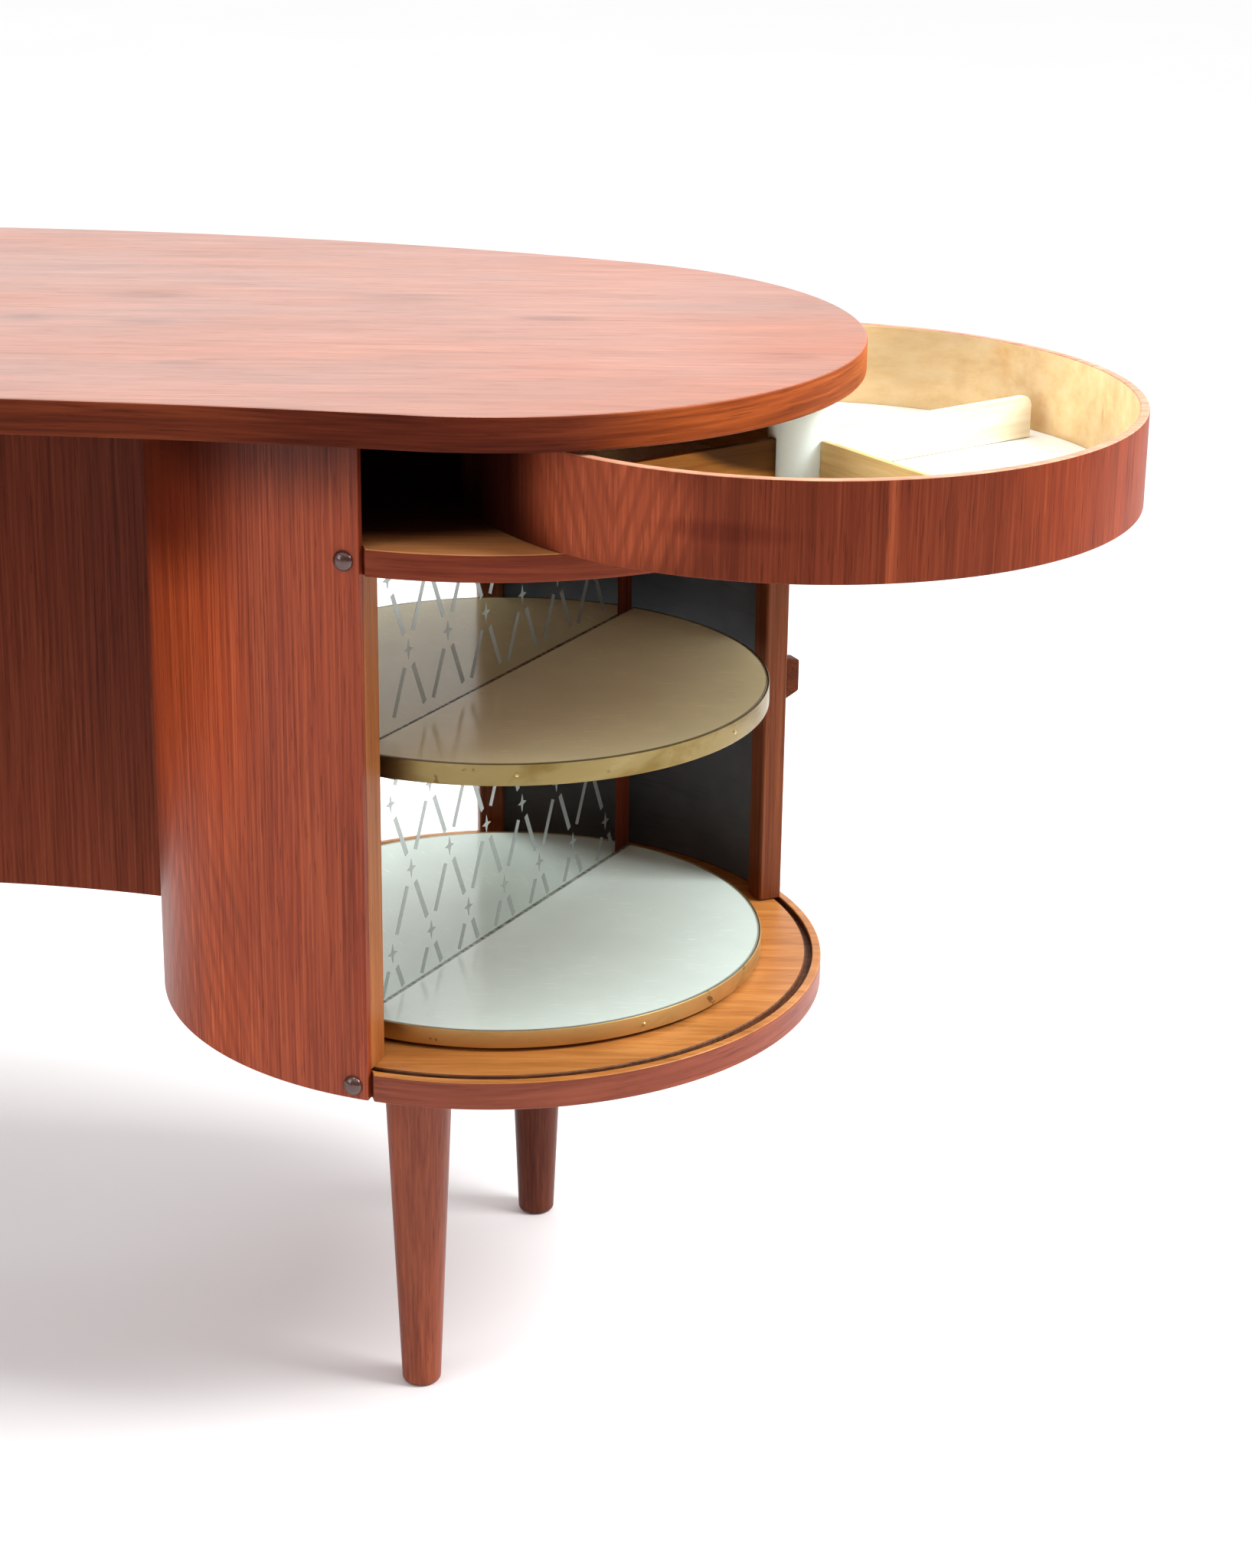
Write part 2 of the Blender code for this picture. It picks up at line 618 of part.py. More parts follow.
def half_disc(radius, flat):
    """The part of a disc that lies below y = flat."""
    edge = math.degrees(math.asin(-flat / radius))
    return arc(radius, 180.0 + edge, 360.0 - edge)


def make_shelf(bar, mirror_face, post_inner):
    """Half-round shelf on the mirror's front, on two pegs in the posts."""
    flat = mirror_face - SEAT
    bottom = BASE_TOP + SHELF_LEVEL - SHELF_THICKNESS
    top = BASE_TOP + SHELF_LEVEL
    radius = SHELF_RADIUS - BAND_THICKNESS - SEAT
    core_top = top - LAMINATE_THICKNESS - SEAT
    assemble(slab("bar_shelf_core", [half_disc(radius, flat)], bottom, core_top), bar, BIRCH)
    laminate = slab("bar_shelf_laminate", [half_disc(radius, flat)], top - LAMINATE_THICKNESS, top)
    assemble(laminate, bar, LAMINATE)
    outer = half_disc(SHELF_RADIUS, flat)
    inner = half_disc(SHELF_RADIUS - BAND_THICKNESS, flat)
    assemble(slab("bar_shelf_band", [outer + inner[::-1]], bottom, top), bar, BRASS)
    for word, x in (("near", -post_inner - POST_WIDTH / 2), ("far", post_inner + POST_WIDTH / 2)):
        peg = rod("bar_shelf_" + word + "_peg", PEG_RADIUS, 0.0, PEG_REACH, DRILL_FACETS)
        peg.location = (x, flat, bottom - PEG_RADIUS - SEAT)
        peg.rotation_euler = (math.pi / 2, 0.0, 0.0)
        assemble(peg, bar, BRASS)


def make_bar(pedestal):
    """Revolving bar: turntable, mirrored partition and half shelf."""
    bar = empty("bar_axis", (BAR_FORWARD, 0.0, 0.0), BAR_TURN, pedestal)
    washer_bottom = BASE_TOP + SEAT
    hole = SPINDLE_RADIUS + SEAT
    ring = [circle(WASHER_RADIUS, step=SMALL_FACET), circle(hole, step=SMALL_FACET)]
    washer = slab("bar_thrust_washer", ring, washer_bottom, washer_bottom + WASHER_THICKNESS)
    washer.location = (BAR_FORWARD, 0.0, 0.0)
    assemble(washer, pedestal, STEEL)
    floor = make_turntable(bar)
    mirror_face, post_inner = make_partition(bar, floor)
    make_shelf(bar, mirror_face, post_inner)


def make_left_shelf(pedestal):
    """Round shelf of the left pedestal, on a turned column."""
    level = BASE_TOP + LEFT_SHELF_LEVEL
    shelf = slab("left_shelf", [circle(LEFT_SHELF_RADIUS)], level, level + LEFT_SHELF_THICKNESS)
    soften(shelf)
    assemble(shelf, pedestal, BIRCH)
    top = level - SEAT
    bottom = BASE_TOP + SEAT
    flare = LEFT_COLUMN_FOOT - LEFT_COLUMN_RADIUS
    hollow = arc(flare, 180.0, 270.0, (LEFT_COLUMN_FOOT, bottom + LEFT_COLUMN_RIM + flare), step=SMALL_FACET)
    profile = [(0.0, top), (LEFT_COLUMN_RADIUS, top)] + hollow + [(LEFT_COLUMN_FOOT, bottom), (0.0, bottom)]
    assemble(turned("left_shelf_column", profile), pedestal, BIRCH)


def make_pedestal(hand, word, lead, drawer_out, desk):
    turn = OPENING_TURN if hand == RIGHT else 180.0 - OPENING_TURN
    pedestal = empty(word + "_pedestal", (hand * HALF_SPACING, 0.0, 0.0), turn, desk)
    make_base(hand, word, pedestal)
    make_deck(hand, word, pedestal)
    make_wall(hand, word, pedestal)
    make_plugs(hand, word, pedestal)
    make_legs(hand, word, pedestal)
    make_door(hand, word, lead, empty(word + "_door_axis", (0.0, 0.0, 0.0), 0.0, pedestal))
    slide = empty(word + "_drawer_slide", (drawer_out, 0.0, 0.0), 0.0, pedestal)
    make_drawer_tray(word, slide)
    return pedestal, slide


def box_middle():
    """Middle of the desk's plan, with the right-hand drawer out."""
    turn = math.radians(OPENING_TURN)
    right = HALF_SPACING + DRAWER_OUT * math.cos(turn) + DRAWER_RADIUS
    left = -HALF_SPACING - LOBE_RADIUS
    front = DRAWER_OUT * math.sin(turn) - DRAWER_RADIUS
    back = BACK_RADIUS - math.sqrt((BACK_RADIUS - LOBE_RADIUS) ** 2 - HALF_SPACING ** 2)
    return (left + right) / 2, (front + back) / 2


def main():
    middle_x, middle_y = box_middle()
    desk = empty("desk_frame", (-middle_x, -middle_y, 0.0))
    make_desktop(desk)
    make_panel(desk)
    right, right_slide = make_pedestal(RIGHT, "right", DOOR_LEAD_RIGHT, DRAWER_OUT, desk)
    make_drawer_fittings(right_slide)
    make_bar(right)
    closed = DOOR_LEAD_CLOSED + swing(SEAT, STILE_INNER)
    left, left_slide = make_pedestal(LEFT, "left", closed, 0.0, desk)
    make_left_shelf(left)


main()
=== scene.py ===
"""Looks of the kidney desk: fine meshes and procedural finishes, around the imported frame.

Metres, +Z up, in the frame's own axes. A pedestal's pieces are made about the axis of its drum,
with x pointing out of its opening, and then turned into place. Grain follows each object's axes.
"""
import json
import math

import bmesh
import bpy
from mathutils import Matrix, Vector


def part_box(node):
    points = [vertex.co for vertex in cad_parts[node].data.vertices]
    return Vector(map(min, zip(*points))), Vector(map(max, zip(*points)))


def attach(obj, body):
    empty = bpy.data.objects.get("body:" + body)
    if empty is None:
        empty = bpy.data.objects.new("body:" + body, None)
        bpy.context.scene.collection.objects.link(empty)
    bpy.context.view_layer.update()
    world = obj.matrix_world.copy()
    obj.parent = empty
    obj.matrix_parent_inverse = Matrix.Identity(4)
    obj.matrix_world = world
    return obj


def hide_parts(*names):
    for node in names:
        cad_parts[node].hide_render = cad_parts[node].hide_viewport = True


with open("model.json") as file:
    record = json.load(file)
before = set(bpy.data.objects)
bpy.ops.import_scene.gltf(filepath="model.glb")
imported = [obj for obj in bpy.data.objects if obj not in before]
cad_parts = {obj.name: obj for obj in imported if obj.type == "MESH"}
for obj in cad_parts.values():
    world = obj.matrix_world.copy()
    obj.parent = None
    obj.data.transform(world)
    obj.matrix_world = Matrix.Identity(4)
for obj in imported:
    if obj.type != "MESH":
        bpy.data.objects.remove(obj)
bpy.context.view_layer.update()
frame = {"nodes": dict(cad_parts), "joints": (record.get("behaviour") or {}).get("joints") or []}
NODES = frame["nodes"]
JOINTS = {joint["name"]: joint for joint in frame["joints"]}

# Sizes of the CAD model that the fine pieces keep to
DRUM_RADIUS = 0.24
WALL_INNER = 0.2335
PLATE_STEP = 0.2332
GROOVE_INNER = 0.2285
GROOVE_DEPTH = 0.005
OPENING_TURN = -18.0
SEAT = 0.0003
DRUM_SPACING = 0.936
LOBE_RADIUS = 0.257
BACK_RADIUS = 1.5
FRONT_WAIST = 0.038
PANEL_RADIUS = 0.8
PANEL_APEX = 0.16
PANEL_THICKNESS = 0.01
LEG_TOP_RADIUS = 0.025
LEG_FOOT_RADIUS = 0.014
PLUG_TURN = 92.63
SLAT_OUTER = 0.233
SLAT_INNER = 0.229
SLAT_COUNT = 48
SLAT_OVERLAP = 4.0
CANVAS_OUTER = 0.2287
CANVAS_INNER = 0.2279
STILE_WIDTH = 0.021
PULL_WIDTH = 0.014
PULL_REACH = 0.0115
DOOR_LEAD = {"right": 41.0, "left": -89.92}
DRAWER_RADIUS = 0.2296
DRAWER_INNER = 0.2231
HUB_RADIUS = 0.023
HUB_WALL = 0.0018
DIVIDER_TURN = 54.0
DIVIDER_THICKNESS = 0.005
DIVIDER_REACH = 0.2064
DIVIDER_ROUND = 0.008
BAR_TURN = 79.2
BAR_RADIUS = 0.1892
SHELF_RADIUS = 0.1903
BAND_THICKNESS = 0.0012
MIRROR_FACE = {"front": -0.002, "rear": 0.0146}
RUNNER_WIDTH = 0.019
SLOT_BACK = -0.2145
LEFT_SHELF_RADIUS = 0.206
COLUMN_RADIUS = 0.018
COLUMN_FOOT = 0.055
COLUMN_RIM = 0.004

# Sizes that differ from the CAD model: larger plug heads and a wider gap under the turntable
PLUG_HEAD_RADIUS = 0.0069
PLUG_HEAD_HEIGHT = 0.004
TABLE_LIFT = 0.0018

# Small shapes: roundings, tapers and shoulders
TOP_ROUND = 0.0018
RIM_ROUND = 0.0014
WALL_ROUND = 0.0012
WALL_END_ROUND = 0.0009
EDGE_ROUND = 0.0008
SMALL_ROUND = 0.0006
BAND_ROUND = 0.0004
LAMINATE_ROUND = 0.0003
PULL_ROUND = 0.0016
SHELF_ROUND = 0.002
FOOT_ROUND = 0.004
SHARP_ANGLE = 35.0
PLUG_SHANK_SHARE = 0.5
PLUG_SHANK_LENGTH = 0.012
PULL_LOW_TAPER = 0.006
PULL_HIGH_TAPER = 0.0018
SLAT_SHOULDERS = (
    (0.0, 0.0014), (0.04, 0.0007), (0.1, 0.0002), (0.22, 0.0), (0.78, 0.0), (0.9, 0.0002), (0.96, 0.0007),
)

# How far the cutter of the runner's slot goes beyond the deck
CUTTER_FRONT = 0.3
CUTTER_ABOVE = 0.01


def levels(node):
    """Lowest and highest z of a CAD node."""
    low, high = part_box(node)
    return low.z, high.z


# Places and levels that the frame gives
AXIS = {
    "right": Vector(JOINTS["right_door_turn"]["pos_m"]).to_2d(),
    "left": Vector(JOINTS["left_door_turn"]["pos_m"]).to_2d(),
    "bar": Vector(JOINTS["bar_spin"]["pos_m"]).to_2d(),
}
MIDDLE = (AXIS["right"] + AXIS["left"]) / 2
BASE_LOW, BASE_HIGH = levels("right_base_plate")
DECK_LOW, DECK_HIGH = levels("right_deck")
DRAWER_LOW, DRAWER_HIGH = levels("right_drawer_rim")
TOP_LOW, TOP_HIGH = levels("desktop")
DRAWER_SPOT = (sum(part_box("right_drawer_hub"), Vector()) / 2).to_2d()
HANDS = {"right": 1, "left": -1}
TURN = {"right": OPENING_TURN, "left": 180.0 - OPENING_TURN}
PEDESTAL = {side: (AXIS[side], TURN[side], "carcass") for side in HANDS}

# Camera of the photograph
PHOTO_HEIGHT = 2048
FOCAL_PIXELS = 4208.37
SENSOR = 36.0
CAMERA_PLACE = (0.47214, -2.20485, 1.21607)
CAMERA_PITCH = 0.3531
CAMERA_ROLL = 0.0126

# Softboxes: name, place, the point they face, side and power
SOFTBOXES = (
    ("right_key", (2.7, -0.5, 2.5), (0.45, 0.0, 0.45), 1.2, 135.0),
    ("left_fill", (-2.4, -2.0, 1.6), (0.2, 0.0, 0.4), 1.4, 24.0),
    ("top_key", (0.2, -0.25, 3.7), (0.25, 0.0, 0.5), 0.8, 40.0),
)

# Surroundings: the way they brighten, where the fade starts and ends, and its two values
SKY_LEAN = (0.0, 0.5, 0.866)
SKY_FADE = (-0.3, 0.6, 0.06, 1.4)
FLOOR_REACH = 20.0
FLOOR_CELLS = 40


# Materials


class Finish:
    """One procedural material, or the surroundings, built node by node."""

    def __init__(self, name, library=bpy.data.materials, shader="Principled BSDF", **constants):
        self.owner = library.new(name)
        self.owner.use_nodes = True
        self.tree = self.owner.node_tree
        self.shader = self.tree.nodes[shader]
        for socket, value in constants.items():
            self.shader.inputs[socket.replace("_", " ")].default_value = value

    def feed(self, socket, value):
        """Link a socket, or set it."""
        if isinstance(value, bpy.types.NodeSocket):
            self.tree.links.new(value, socket)
        else:
            socket.default_value = value

    def node(self, kind, inputs=None, output=0, **settings):
        """Add a node and return one of its outputs."""
        node = self.tree.nodes.new("ShaderNode" + kind)
        for key, value in settings.items():
            setattr(node, key, value)
        for key, value in (inputs or {}).items():
            self.feed(node.inputs[key], value)
        return node.outputs[output]

    def place(self):
        """The piece's own coordinates."""
        return self.node("TexCoord", output="Object")

    def scaled(self, vector, *scale):
        return self.node("Mapping", {"Vector": vector, "Scale": scale})

    def noise(self, vector, detail=3.0, roughness=0.5, scale=1.0, distortion=0.0, output=0):
        inputs = {
            "Vector": vector, "Scale": scale, "Detail": detail,
            "Roughness": roughness, "Distortion": distortion,
        }
        return self.node("TexNoise", inputs, output)

    def math(self, operation, a, b=0.0):
        return self.node("Math", {0: a, 1: b}, operation=operation)

    def vectors(self, operation, a, b, output=0):
        """Vector maths, where the output "Value" is a plain number."""
        return self.node("VectorMath", {0: a, 1: b}, output, operation=operation)

    def length(self, vector):
        return self.node("VectorMath", {0: vector}, "Value", operation="LENGTH")

    def from_axis(self, vector):
        """Distance from the z axis."""
        return self.length(self.vectors("MULTIPLY", vector, (1.0, 1.0, 0.0)))

    def about_axis(self, vector):
        """Angle about the z axis, and the height."""
        x, y, height = self.node("SeparateXYZ", {0: vector}).node.outputs
        return self.math("ARCTAN2", y, x), height

    def span(self, value, low, high, to_low=0.0, to_high=1.0):
        """Map a value between two bounds, smoothly and clamped."""
        inputs = {"Value": value, "From Min": low, "From Max": high, "To Min": to_low, "To Max": to_high}
        return self.node("MapRange", inputs, interpolation_type="SMOOTHSTEP")

    def ramp(self, value, stops):
        """Colours along a value, as (position, colour) stops."""
        ramp = self.node("ValToRGB", {0: value}).node
        elements = ramp.color_ramp.elements
        while len(elements) < len(stops):
            elements.new(0.5)
        for element, (position, colour) in zip(elements, stops):
            element.position = position
            element.color = (*colour, 1.0)
        return ramp.outputs[0]

    def mix(self, factor, a, b, blend="MIX"):
        """Mix two colours."""
        a, b = (c if isinstance(c, bpy.types.NodeSocket) else (*c, 1.0) for c in (a, b))
        return self.node("Mix", {0: factor, 6: a, 7: b}, 2, data_type="RGBA", blend_type=blend)

    def unrolled(self, vector):
        """A bent surface laid flat: degrees about z, then the height."""
        angle, height = self.about_axis(vector)
        return self.node("CombineXYZ", {0: self.math("DEGREES", angle), 1: height})

    def patch(self, vector, centre, reach, full):
        """1 in the middle of an oval patch, fading to 0 at its edge."""
        share = self.vectors("DIVIDE", self.vectors("SUBTRACT", vector, centre), reach)
        return self.span(self.length(share), full, 1.0, 1.0, 0.0)

    def add_marks_and_painted_light(self, colour, vector, marks_and_painted_light):
        """A colour with marks of use and patches of painted light and shade on it, as (centre, reach, factor,
        share that is full).
        """
        for centre, reach, factor, full in marks_and_painted_light:
            where = self.patch(vector, centre, reach, full)
            colour = self.mix(where, colour, self.mix(1.0, colour, factor, "MULTIPLY"))
        return colour

    def surface(self, colour, roughness=None, height=None, strength=0.0, distance=0.0):
        """Connect what varies to the shader."""
        self.feed(self.shader.inputs["Base Color"], colour)
        if roughness is not None:
            self.feed(self.shader.inputs["Roughness"], roughness)
        if height is not None:
            inputs = {"Height": height, "Strength": strength, "Distance": distance}
            self.feed(self.shader.inputs["Normal"], self.node("Bump", inputs))
        return self.owner


def times(colour, factor):
    return [factor * c for c in colour]


def polar(radius, angle):
    turn = math.radians(angle)
    return radius * math.cos(turn), radius * math.sin(turn)


# Factors along the broad bands and the clouds of every wood, as (position, colour) stops
BAND_TONES = ((0.3, (0.76, 0.74, 0.72)), (0.5, (1.0, 1.0, 1.0)), (0.7, (1.16, 1.17, 1.18)))
CLOUD_TONES = ((0.3, (0.8, 0.8, 0.8)), (0.52, (1.0, 1.0, 1.0)), (0.72, (1.14, 1.13, 1.1)))


def wood(name, tones, grain, shine=0.25, marks_and_painted_light=(), bent_marks_and_painted_light=(), figure=None):
    """Wood with tones from dark to light, and shine for how much it reflects.

    The flat and the bent marks, which hold marks of use as well as painted light and shade, are as Finish
    takes them, the bent ones by (degrees about z, height).
    figure is the (angle, radius, tilt, spacing, reach, strength, fade levels) of a cathedral figure.
    """
    axis, along, across, waver, pores, gloss, depth = grain
    coat = Finish(name, IOR=1.5, Specular_IOR_Level=shine)
    place = coat.place()

    def stretched(vector, lengthways, crossways):
        return coat.scaled(vector, *(lengthways if way in axis else crossways for way in "XYZ"))

    drift = coat.noise(stretched(place, 1.6, 5.0), 2.0, output=1)
    centred = coat.vectors("SUBTRACT", drift, (0.5, 0.5, 0.5))
    shift = coat.node("VectorMath", {0: centred, "Scale": waver}, operation="SCALE")
    warped = coat.vectors("ADD", place, shift)
    lines = coat.noise(stretched(warped, along * 2.0, across * 4.5), 5.0, 0.62)
    bands = coat.noise(stretched(warped, along, across * 0.8), 4.0, 0.55)
    pits = coat.noise(stretched(warped, 34.0, 800.0), 2.0)
    cloud = coat.noise(stretched(place, 2.5, 8.0), 3.0, 0.55)
    dark, middle, light = tones
    colour = coat.ramp(lines, [(0.32, dark), (0.5, middle), (0.68, light)])
    colour = coat.mix(0.65, colour, coat.ramp(bands, BAND_TONES), "MULTIPLY")
    colour = coat.mix(0.8, colour, coat.ramp(cloud, CLOUD_TONES), "MULTIPLY")
    if figure:
        colour = coat.mix(cathedral(coat, warped, figure), colour, dark)
    pit = coat.span(pits, 0.58, 0.7)
    colour = coat.mix(coat.math("MULTIPLY", pit, pores), colour, times(dark, 0.5))
    colour = coat.add_marks_and_painted_light(colour, place, marks_and_painted_light)
    if bent_marks_and_painted_light:
        colour = coat.add_marks_and_painted_light(colour, coat.unrolled(place), bent_marks_and_painted_light)
    polish = coat.span(cloud, 0.3, 0.7, gloss - 0.05, gloss + 0.06)
    rough = coat.math("ADD", polish, coat.math("MULTIPLY", pit, 0.12))
    height = coat.math("SUBTRACT", coat.math("MULTIPLY", lines, 0.6), pit)
    return coat.surface(colour, rough, height, depth, 0.0003)


def cathedral(coat, place, figure):
    """How dark the growth rings are around a pointed figure."""
    angle, radius, tilt, spacing, reach, strength, fade = figure
    span = coat.from_axis(coat.vectors("SUBTRACT", place, (*polar(radius, angle), 0.0)))
    height = coat.node("SeparateXYZ", {0: place}, 2)
    ring = coat.math("ADD", span, coat.math("MULTIPLY", height, tilt))
    wave = coat.math("SINE", coat.math("MULTIPLY", ring, 2 * math.pi / spacing))
    line = coat.span(wave, -0.4, 1.0, 0.0, strength)
    line = coat.math("MULTIPLY", line, coat.span(height, *fade, 1.0, 0.0))
    return coat.math("MULTIPLY", line, coat.span(span, 0.4 * reach, reach, 1.0, 0.0))


def laminate(name, colour, gloss, shine=0.5, corner_shade=None, rim=0.0):
    """Pale laminate with faint clouds and fine scratches, and painted shade in the corners at the foot of the
    mirror and at the rim.
    """
    coat = Finish(name, IOR=1.5, Specular_IOR_Level=shine)
    place = coat.place()
    cloud = coat.noise(place, 4.0, 0.6, scale=14.0)
    specks = coat.noise(place, 2.0, 0.5, scale=420.0)
    scratch = coat.noise(coat.scaled(place, 40.0, 900.0, 40.0), 2.0, 0.6)
    tint = coat.ramp(cloud, [(0.35, times(colour, 0.94)), (0.65, colour)])
    speck = coat.math("MULTIPLY", coat.span(specks, 0.66, 0.78), 0.06)
    tint = coat.mix(speck, tint, (0.4, 0.38, 0.33))
    # Painted shade: dark lines in the corners at the foot of the mirror and along the rim.
    if corner_shade:
        facing = (*polar(1.0, OPENING_TURN + BAR_TURN + 90.0), 0.0)
        across = coat.vectors("DOT_PRODUCT", place, facing, "Value")
        middle = sum(MIRROR_FACE.values()) / 2
        gap = coat.math("ABSOLUTE", coat.math("SUBTRACT", across, middle))
        half = MIRROR_FACE["rear"] - middle
        uneven = coat.span(specks, 0.3, 0.7, 0.55, 1.0)
        line = coat.math("MULTIPLY", coat.span(gap, half + 0.001, half + 0.0024, 1.0, 0.0), uneven)
        tint = coat.mix(line, tint, corner_shade)
        edge = coat.span(coat.from_axis(place), rim - 0.0022, rim - 0.0008, 0.0, 0.85)
        tint = coat.mix(edge, tint, corner_shade)
    polish = coat.span(cloud, 0.3, 0.7, gloss, gloss + 0.06)
    rough = coat.math("ADD", polish, coat.span(scratch, 0.6, 0.7, 0.0, 0.12))
    return coat.surface(tint, rough, scratch, 0.02, 0.0002)


def worn_brass(name, colour, gloss):
    """Brass with brush marks, dull patches and dark spots."""
    coat = Finish(name, Metallic=1.0)
    place = coat.place()
    brushed = coat.noise(coat.scaled(place, 60.0, 60.0, 2600.0), 2.0, 0.6)
    patches = coat.noise(coat.scaled(place, 16.0, 16.0, 40.0), 4.0, 0.6, distortion=0.4)
    spots = coat.noise(place, 3.0, 0.6, scale=90.0)
    dull = [c * k for c, k in zip(colour, (0.78, 0.7, 0.52))]
    pale = [c * k for c, k in zip(colour, (1.1, 1.14, 1.3))]
    tint = coat.ramp(patches, [(0.32, dull), (0.47, colour), (0.58, colour), (0.7, pale)])
    spot = coat.math("MULTIPLY", coat.span(spots, 0.66, 0.72), 0.7)
    tint = coat.mix(spot, tint, (0.1, 0.06, 0.03))
    polish = coat.span(patches, 0.35, 0.65, gloss + 0.1, gloss)
    rough = coat.math("ADD", polish, coat.span(brushed, 0.4, 0.7, 0.0, 0.1))
    return coat.surface(tint, rough, brushed, 0.05, 0.0001)


def clouded(name, noise, tints, polish, relief=0.0, stretch=None, **constants):
    """Two tints in clouds of a (detail, roughness, scale), with a roughness between two values."""
    coat = Finish(name, **constants)
    place = coat.scaled(coat.place(), *stretch) if stretch else coat.place()
    cloud = coat.noise(place, *noise)
    tint = coat.ramp(cloud, [(0.35, tints[0]), (0.65, tints[1])])
    return coat.surface(tint, coat.span(cloud, 0.3, 0.7, *polish), cloud if relief else None, relief, 0.0001)


def woven(name, colour):
    """Plain canvas: two crossed threads with a little slub."""
    coat = Finish(name, Roughness=0.9, Sheen_Weight=0.15)
    place = coat.place()
    turn, height = coat.about_axis(place)
    warp = coat.math("SINE", coat.math("MULTIPLY", turn, 1250.0))
    weft = coat.math("SINE", coat.math("MULTIPLY", height, 5400.0))
    thread = coat.math("MULTIPLY", warp, weft)
    slub = coat.noise(coat.scaled(place, 30.0, 30.0, 260.0), 3.0, 0.6)
    cloud = coat.noise(place, 3.0, 0.6, scale=11.0)
    tint = coat.ramp(cloud, [(0.32, times(colour, 0.7)), (0.68, times(colour, 1.15))])
    tint = coat.mix(coat.span(slub, 0.5, 0.75, 0.0, 0.35), tint, times(colour, 0.5))
    return coat.surface(tint, None, coat.math("ADD", thread, slub), 0.25, 0.0002)


def on_level(*rows, level=0.0):
    """Marks and patches of painted light and shade from rows of x, y, reach along x and y, factor and the
    share that is full.
    """
    return [((x, y, level), (wide, deep, 1.0), factor, full) for x, y, wide, deep, factor, full in rows]


# Marks of use, and patches of painted light and shade, in the coordinates of the piece. Those of the rims,
# the walls and the birch are in degrees about the axis and in height.
TOP_MARKS = on_level(
    (0.507, 0.032, 0.044, 0.012, (0.68, 0.62, 0.6), 0.1),
    (0.272, -0.119, 0.032, 0.011, (0.72, 0.67, 0.66), 0.1),
    (0.294, -0.108, 0.026, 0.005, (0.76, 0.72, 0.71), 0.1),
    (0.395, 0.094, 0.056, 0.026, (0.8, 0.76, 0.74), 0.1),
    (0.219, 0.093, 0.05, 0.028, (0.78, 0.74, 0.72), 0.1),
    (0.146, 0.015, 0.026, 0.018, (0.74, 0.7, 0.68), 0.1),
    (0.23, 0.004, 0.042, 0.012, (0.78, 0.73, 0.71), 0.1),
    (0.515, -0.12, 0.034, 0.014, (0.95, 0.84, 0.78), 0.45),
    (0.666, -0.082, 0.03, 0.016, (0.9, 0.8, 0.74), 0.45),
    (0.687, 0.091, 0.016, 0.02, (0.95, 0.84, 0.78), 0.45),
    (0.182, 0.155, 0.03, 0.01, (0.9, 0.87, 0.85), 0.45),
    (0.457, -0.016, 0.02, 0.008, (0.9, 0.87, 0.86), 0.45),
    (0.72, -0.02, 0.16, 0.26, (0.94, 0.68, 0.42), 0.2),
    (0.56, -0.2, 0.24, 0.1, (1.02, 0.8, 0.58), 0.2),
    level=TOP_HIGH,
)
# Painted light and shade on the desktop's edge: lighter towards the right end, where the key light falls, and
# darker at the front, which faces away from it.
EDGE_PAINTED_LIGHT_AND_SHADE = (
    ((0.665, -0.15, 0.733), (0.17, 0.2, 0.2), (2.2, 2.6, 1.8), 0.4),
    ((0.75, 0.06, 0.733), (0.14, 0.16, 0.2), (2.6, 2.9, 2.0), 0.4),
    ((0.43, -0.258, 0.733), (0.16, 0.1, 0.2), (0.66, 0.57, 0.6), 0.3),
)
# Marks on the right drawer's rim, three of them painted light and shade: the lighter patch at -126 degrees is
# partly a paler figure and partly painted light, the dark patch at -152 degrees is painted shade where the
# rim lies inside the drawer bay, and the lighter patch at -32 degrees is painted light where the key light
# falls.
RIM_MARKS_AND_PAINTED_LIGHT = on_level(
    (-126.0, 0.692, 22.0, 0.06, (2.05, 2.25, 2.3), 0.45),
    (-104.5, 0.6835, 15.0, 0.01, (0.76, 0.68, 0.68), 0.25),
    (-78.8, 0.69, 1.1, 0.2, (1.55, 1.75, 1.8), 0.45),
    (-80.6, 0.69, 1.2, 0.2, (0.78, 0.75, 0.75), 0.45),
    (-152.0, 0.69, 18.0, 0.4, (0.22, 0.22, 0.3), 0.3),
    (-32.0, 0.69, 38.0, 0.5, (1.38, 1.22, 0.95), 0.3),
)
# Painted light and shade on the drum walls: lighter at the left, low and in the middle, where light from the
# left falls, and darker along the top, in the shadow of the desktop's overhang.
WALL_PAINTED_LIGHT_AND_SHADE = on_level(
    (-150.0, 0.52, 26.0, 0.19, (1.33, 1.26, 1.03), 0.45),
    (-150.0, 0.3, 22.0, 0.12, (1.3, 1.28, 1.0), 0.45),
    (-157.0, 0.68, 34.0, 0.108, (0.44, 0.38, 0.38), 0.45),
    (-130.0, 0.735, 60.0, 0.08, (0.34, 0.33, 0.36), 0.3),
)
# Painted light on the curved panel: lighter towards its foot, as its upper part lies in the desktop's shade.
SCREEN_PAINTED_LIGHT = (((0.0, 0.16, 0.26), (1.3, 1.0, 0.32), (1.4, 1.5, 1.55), 0.1),)
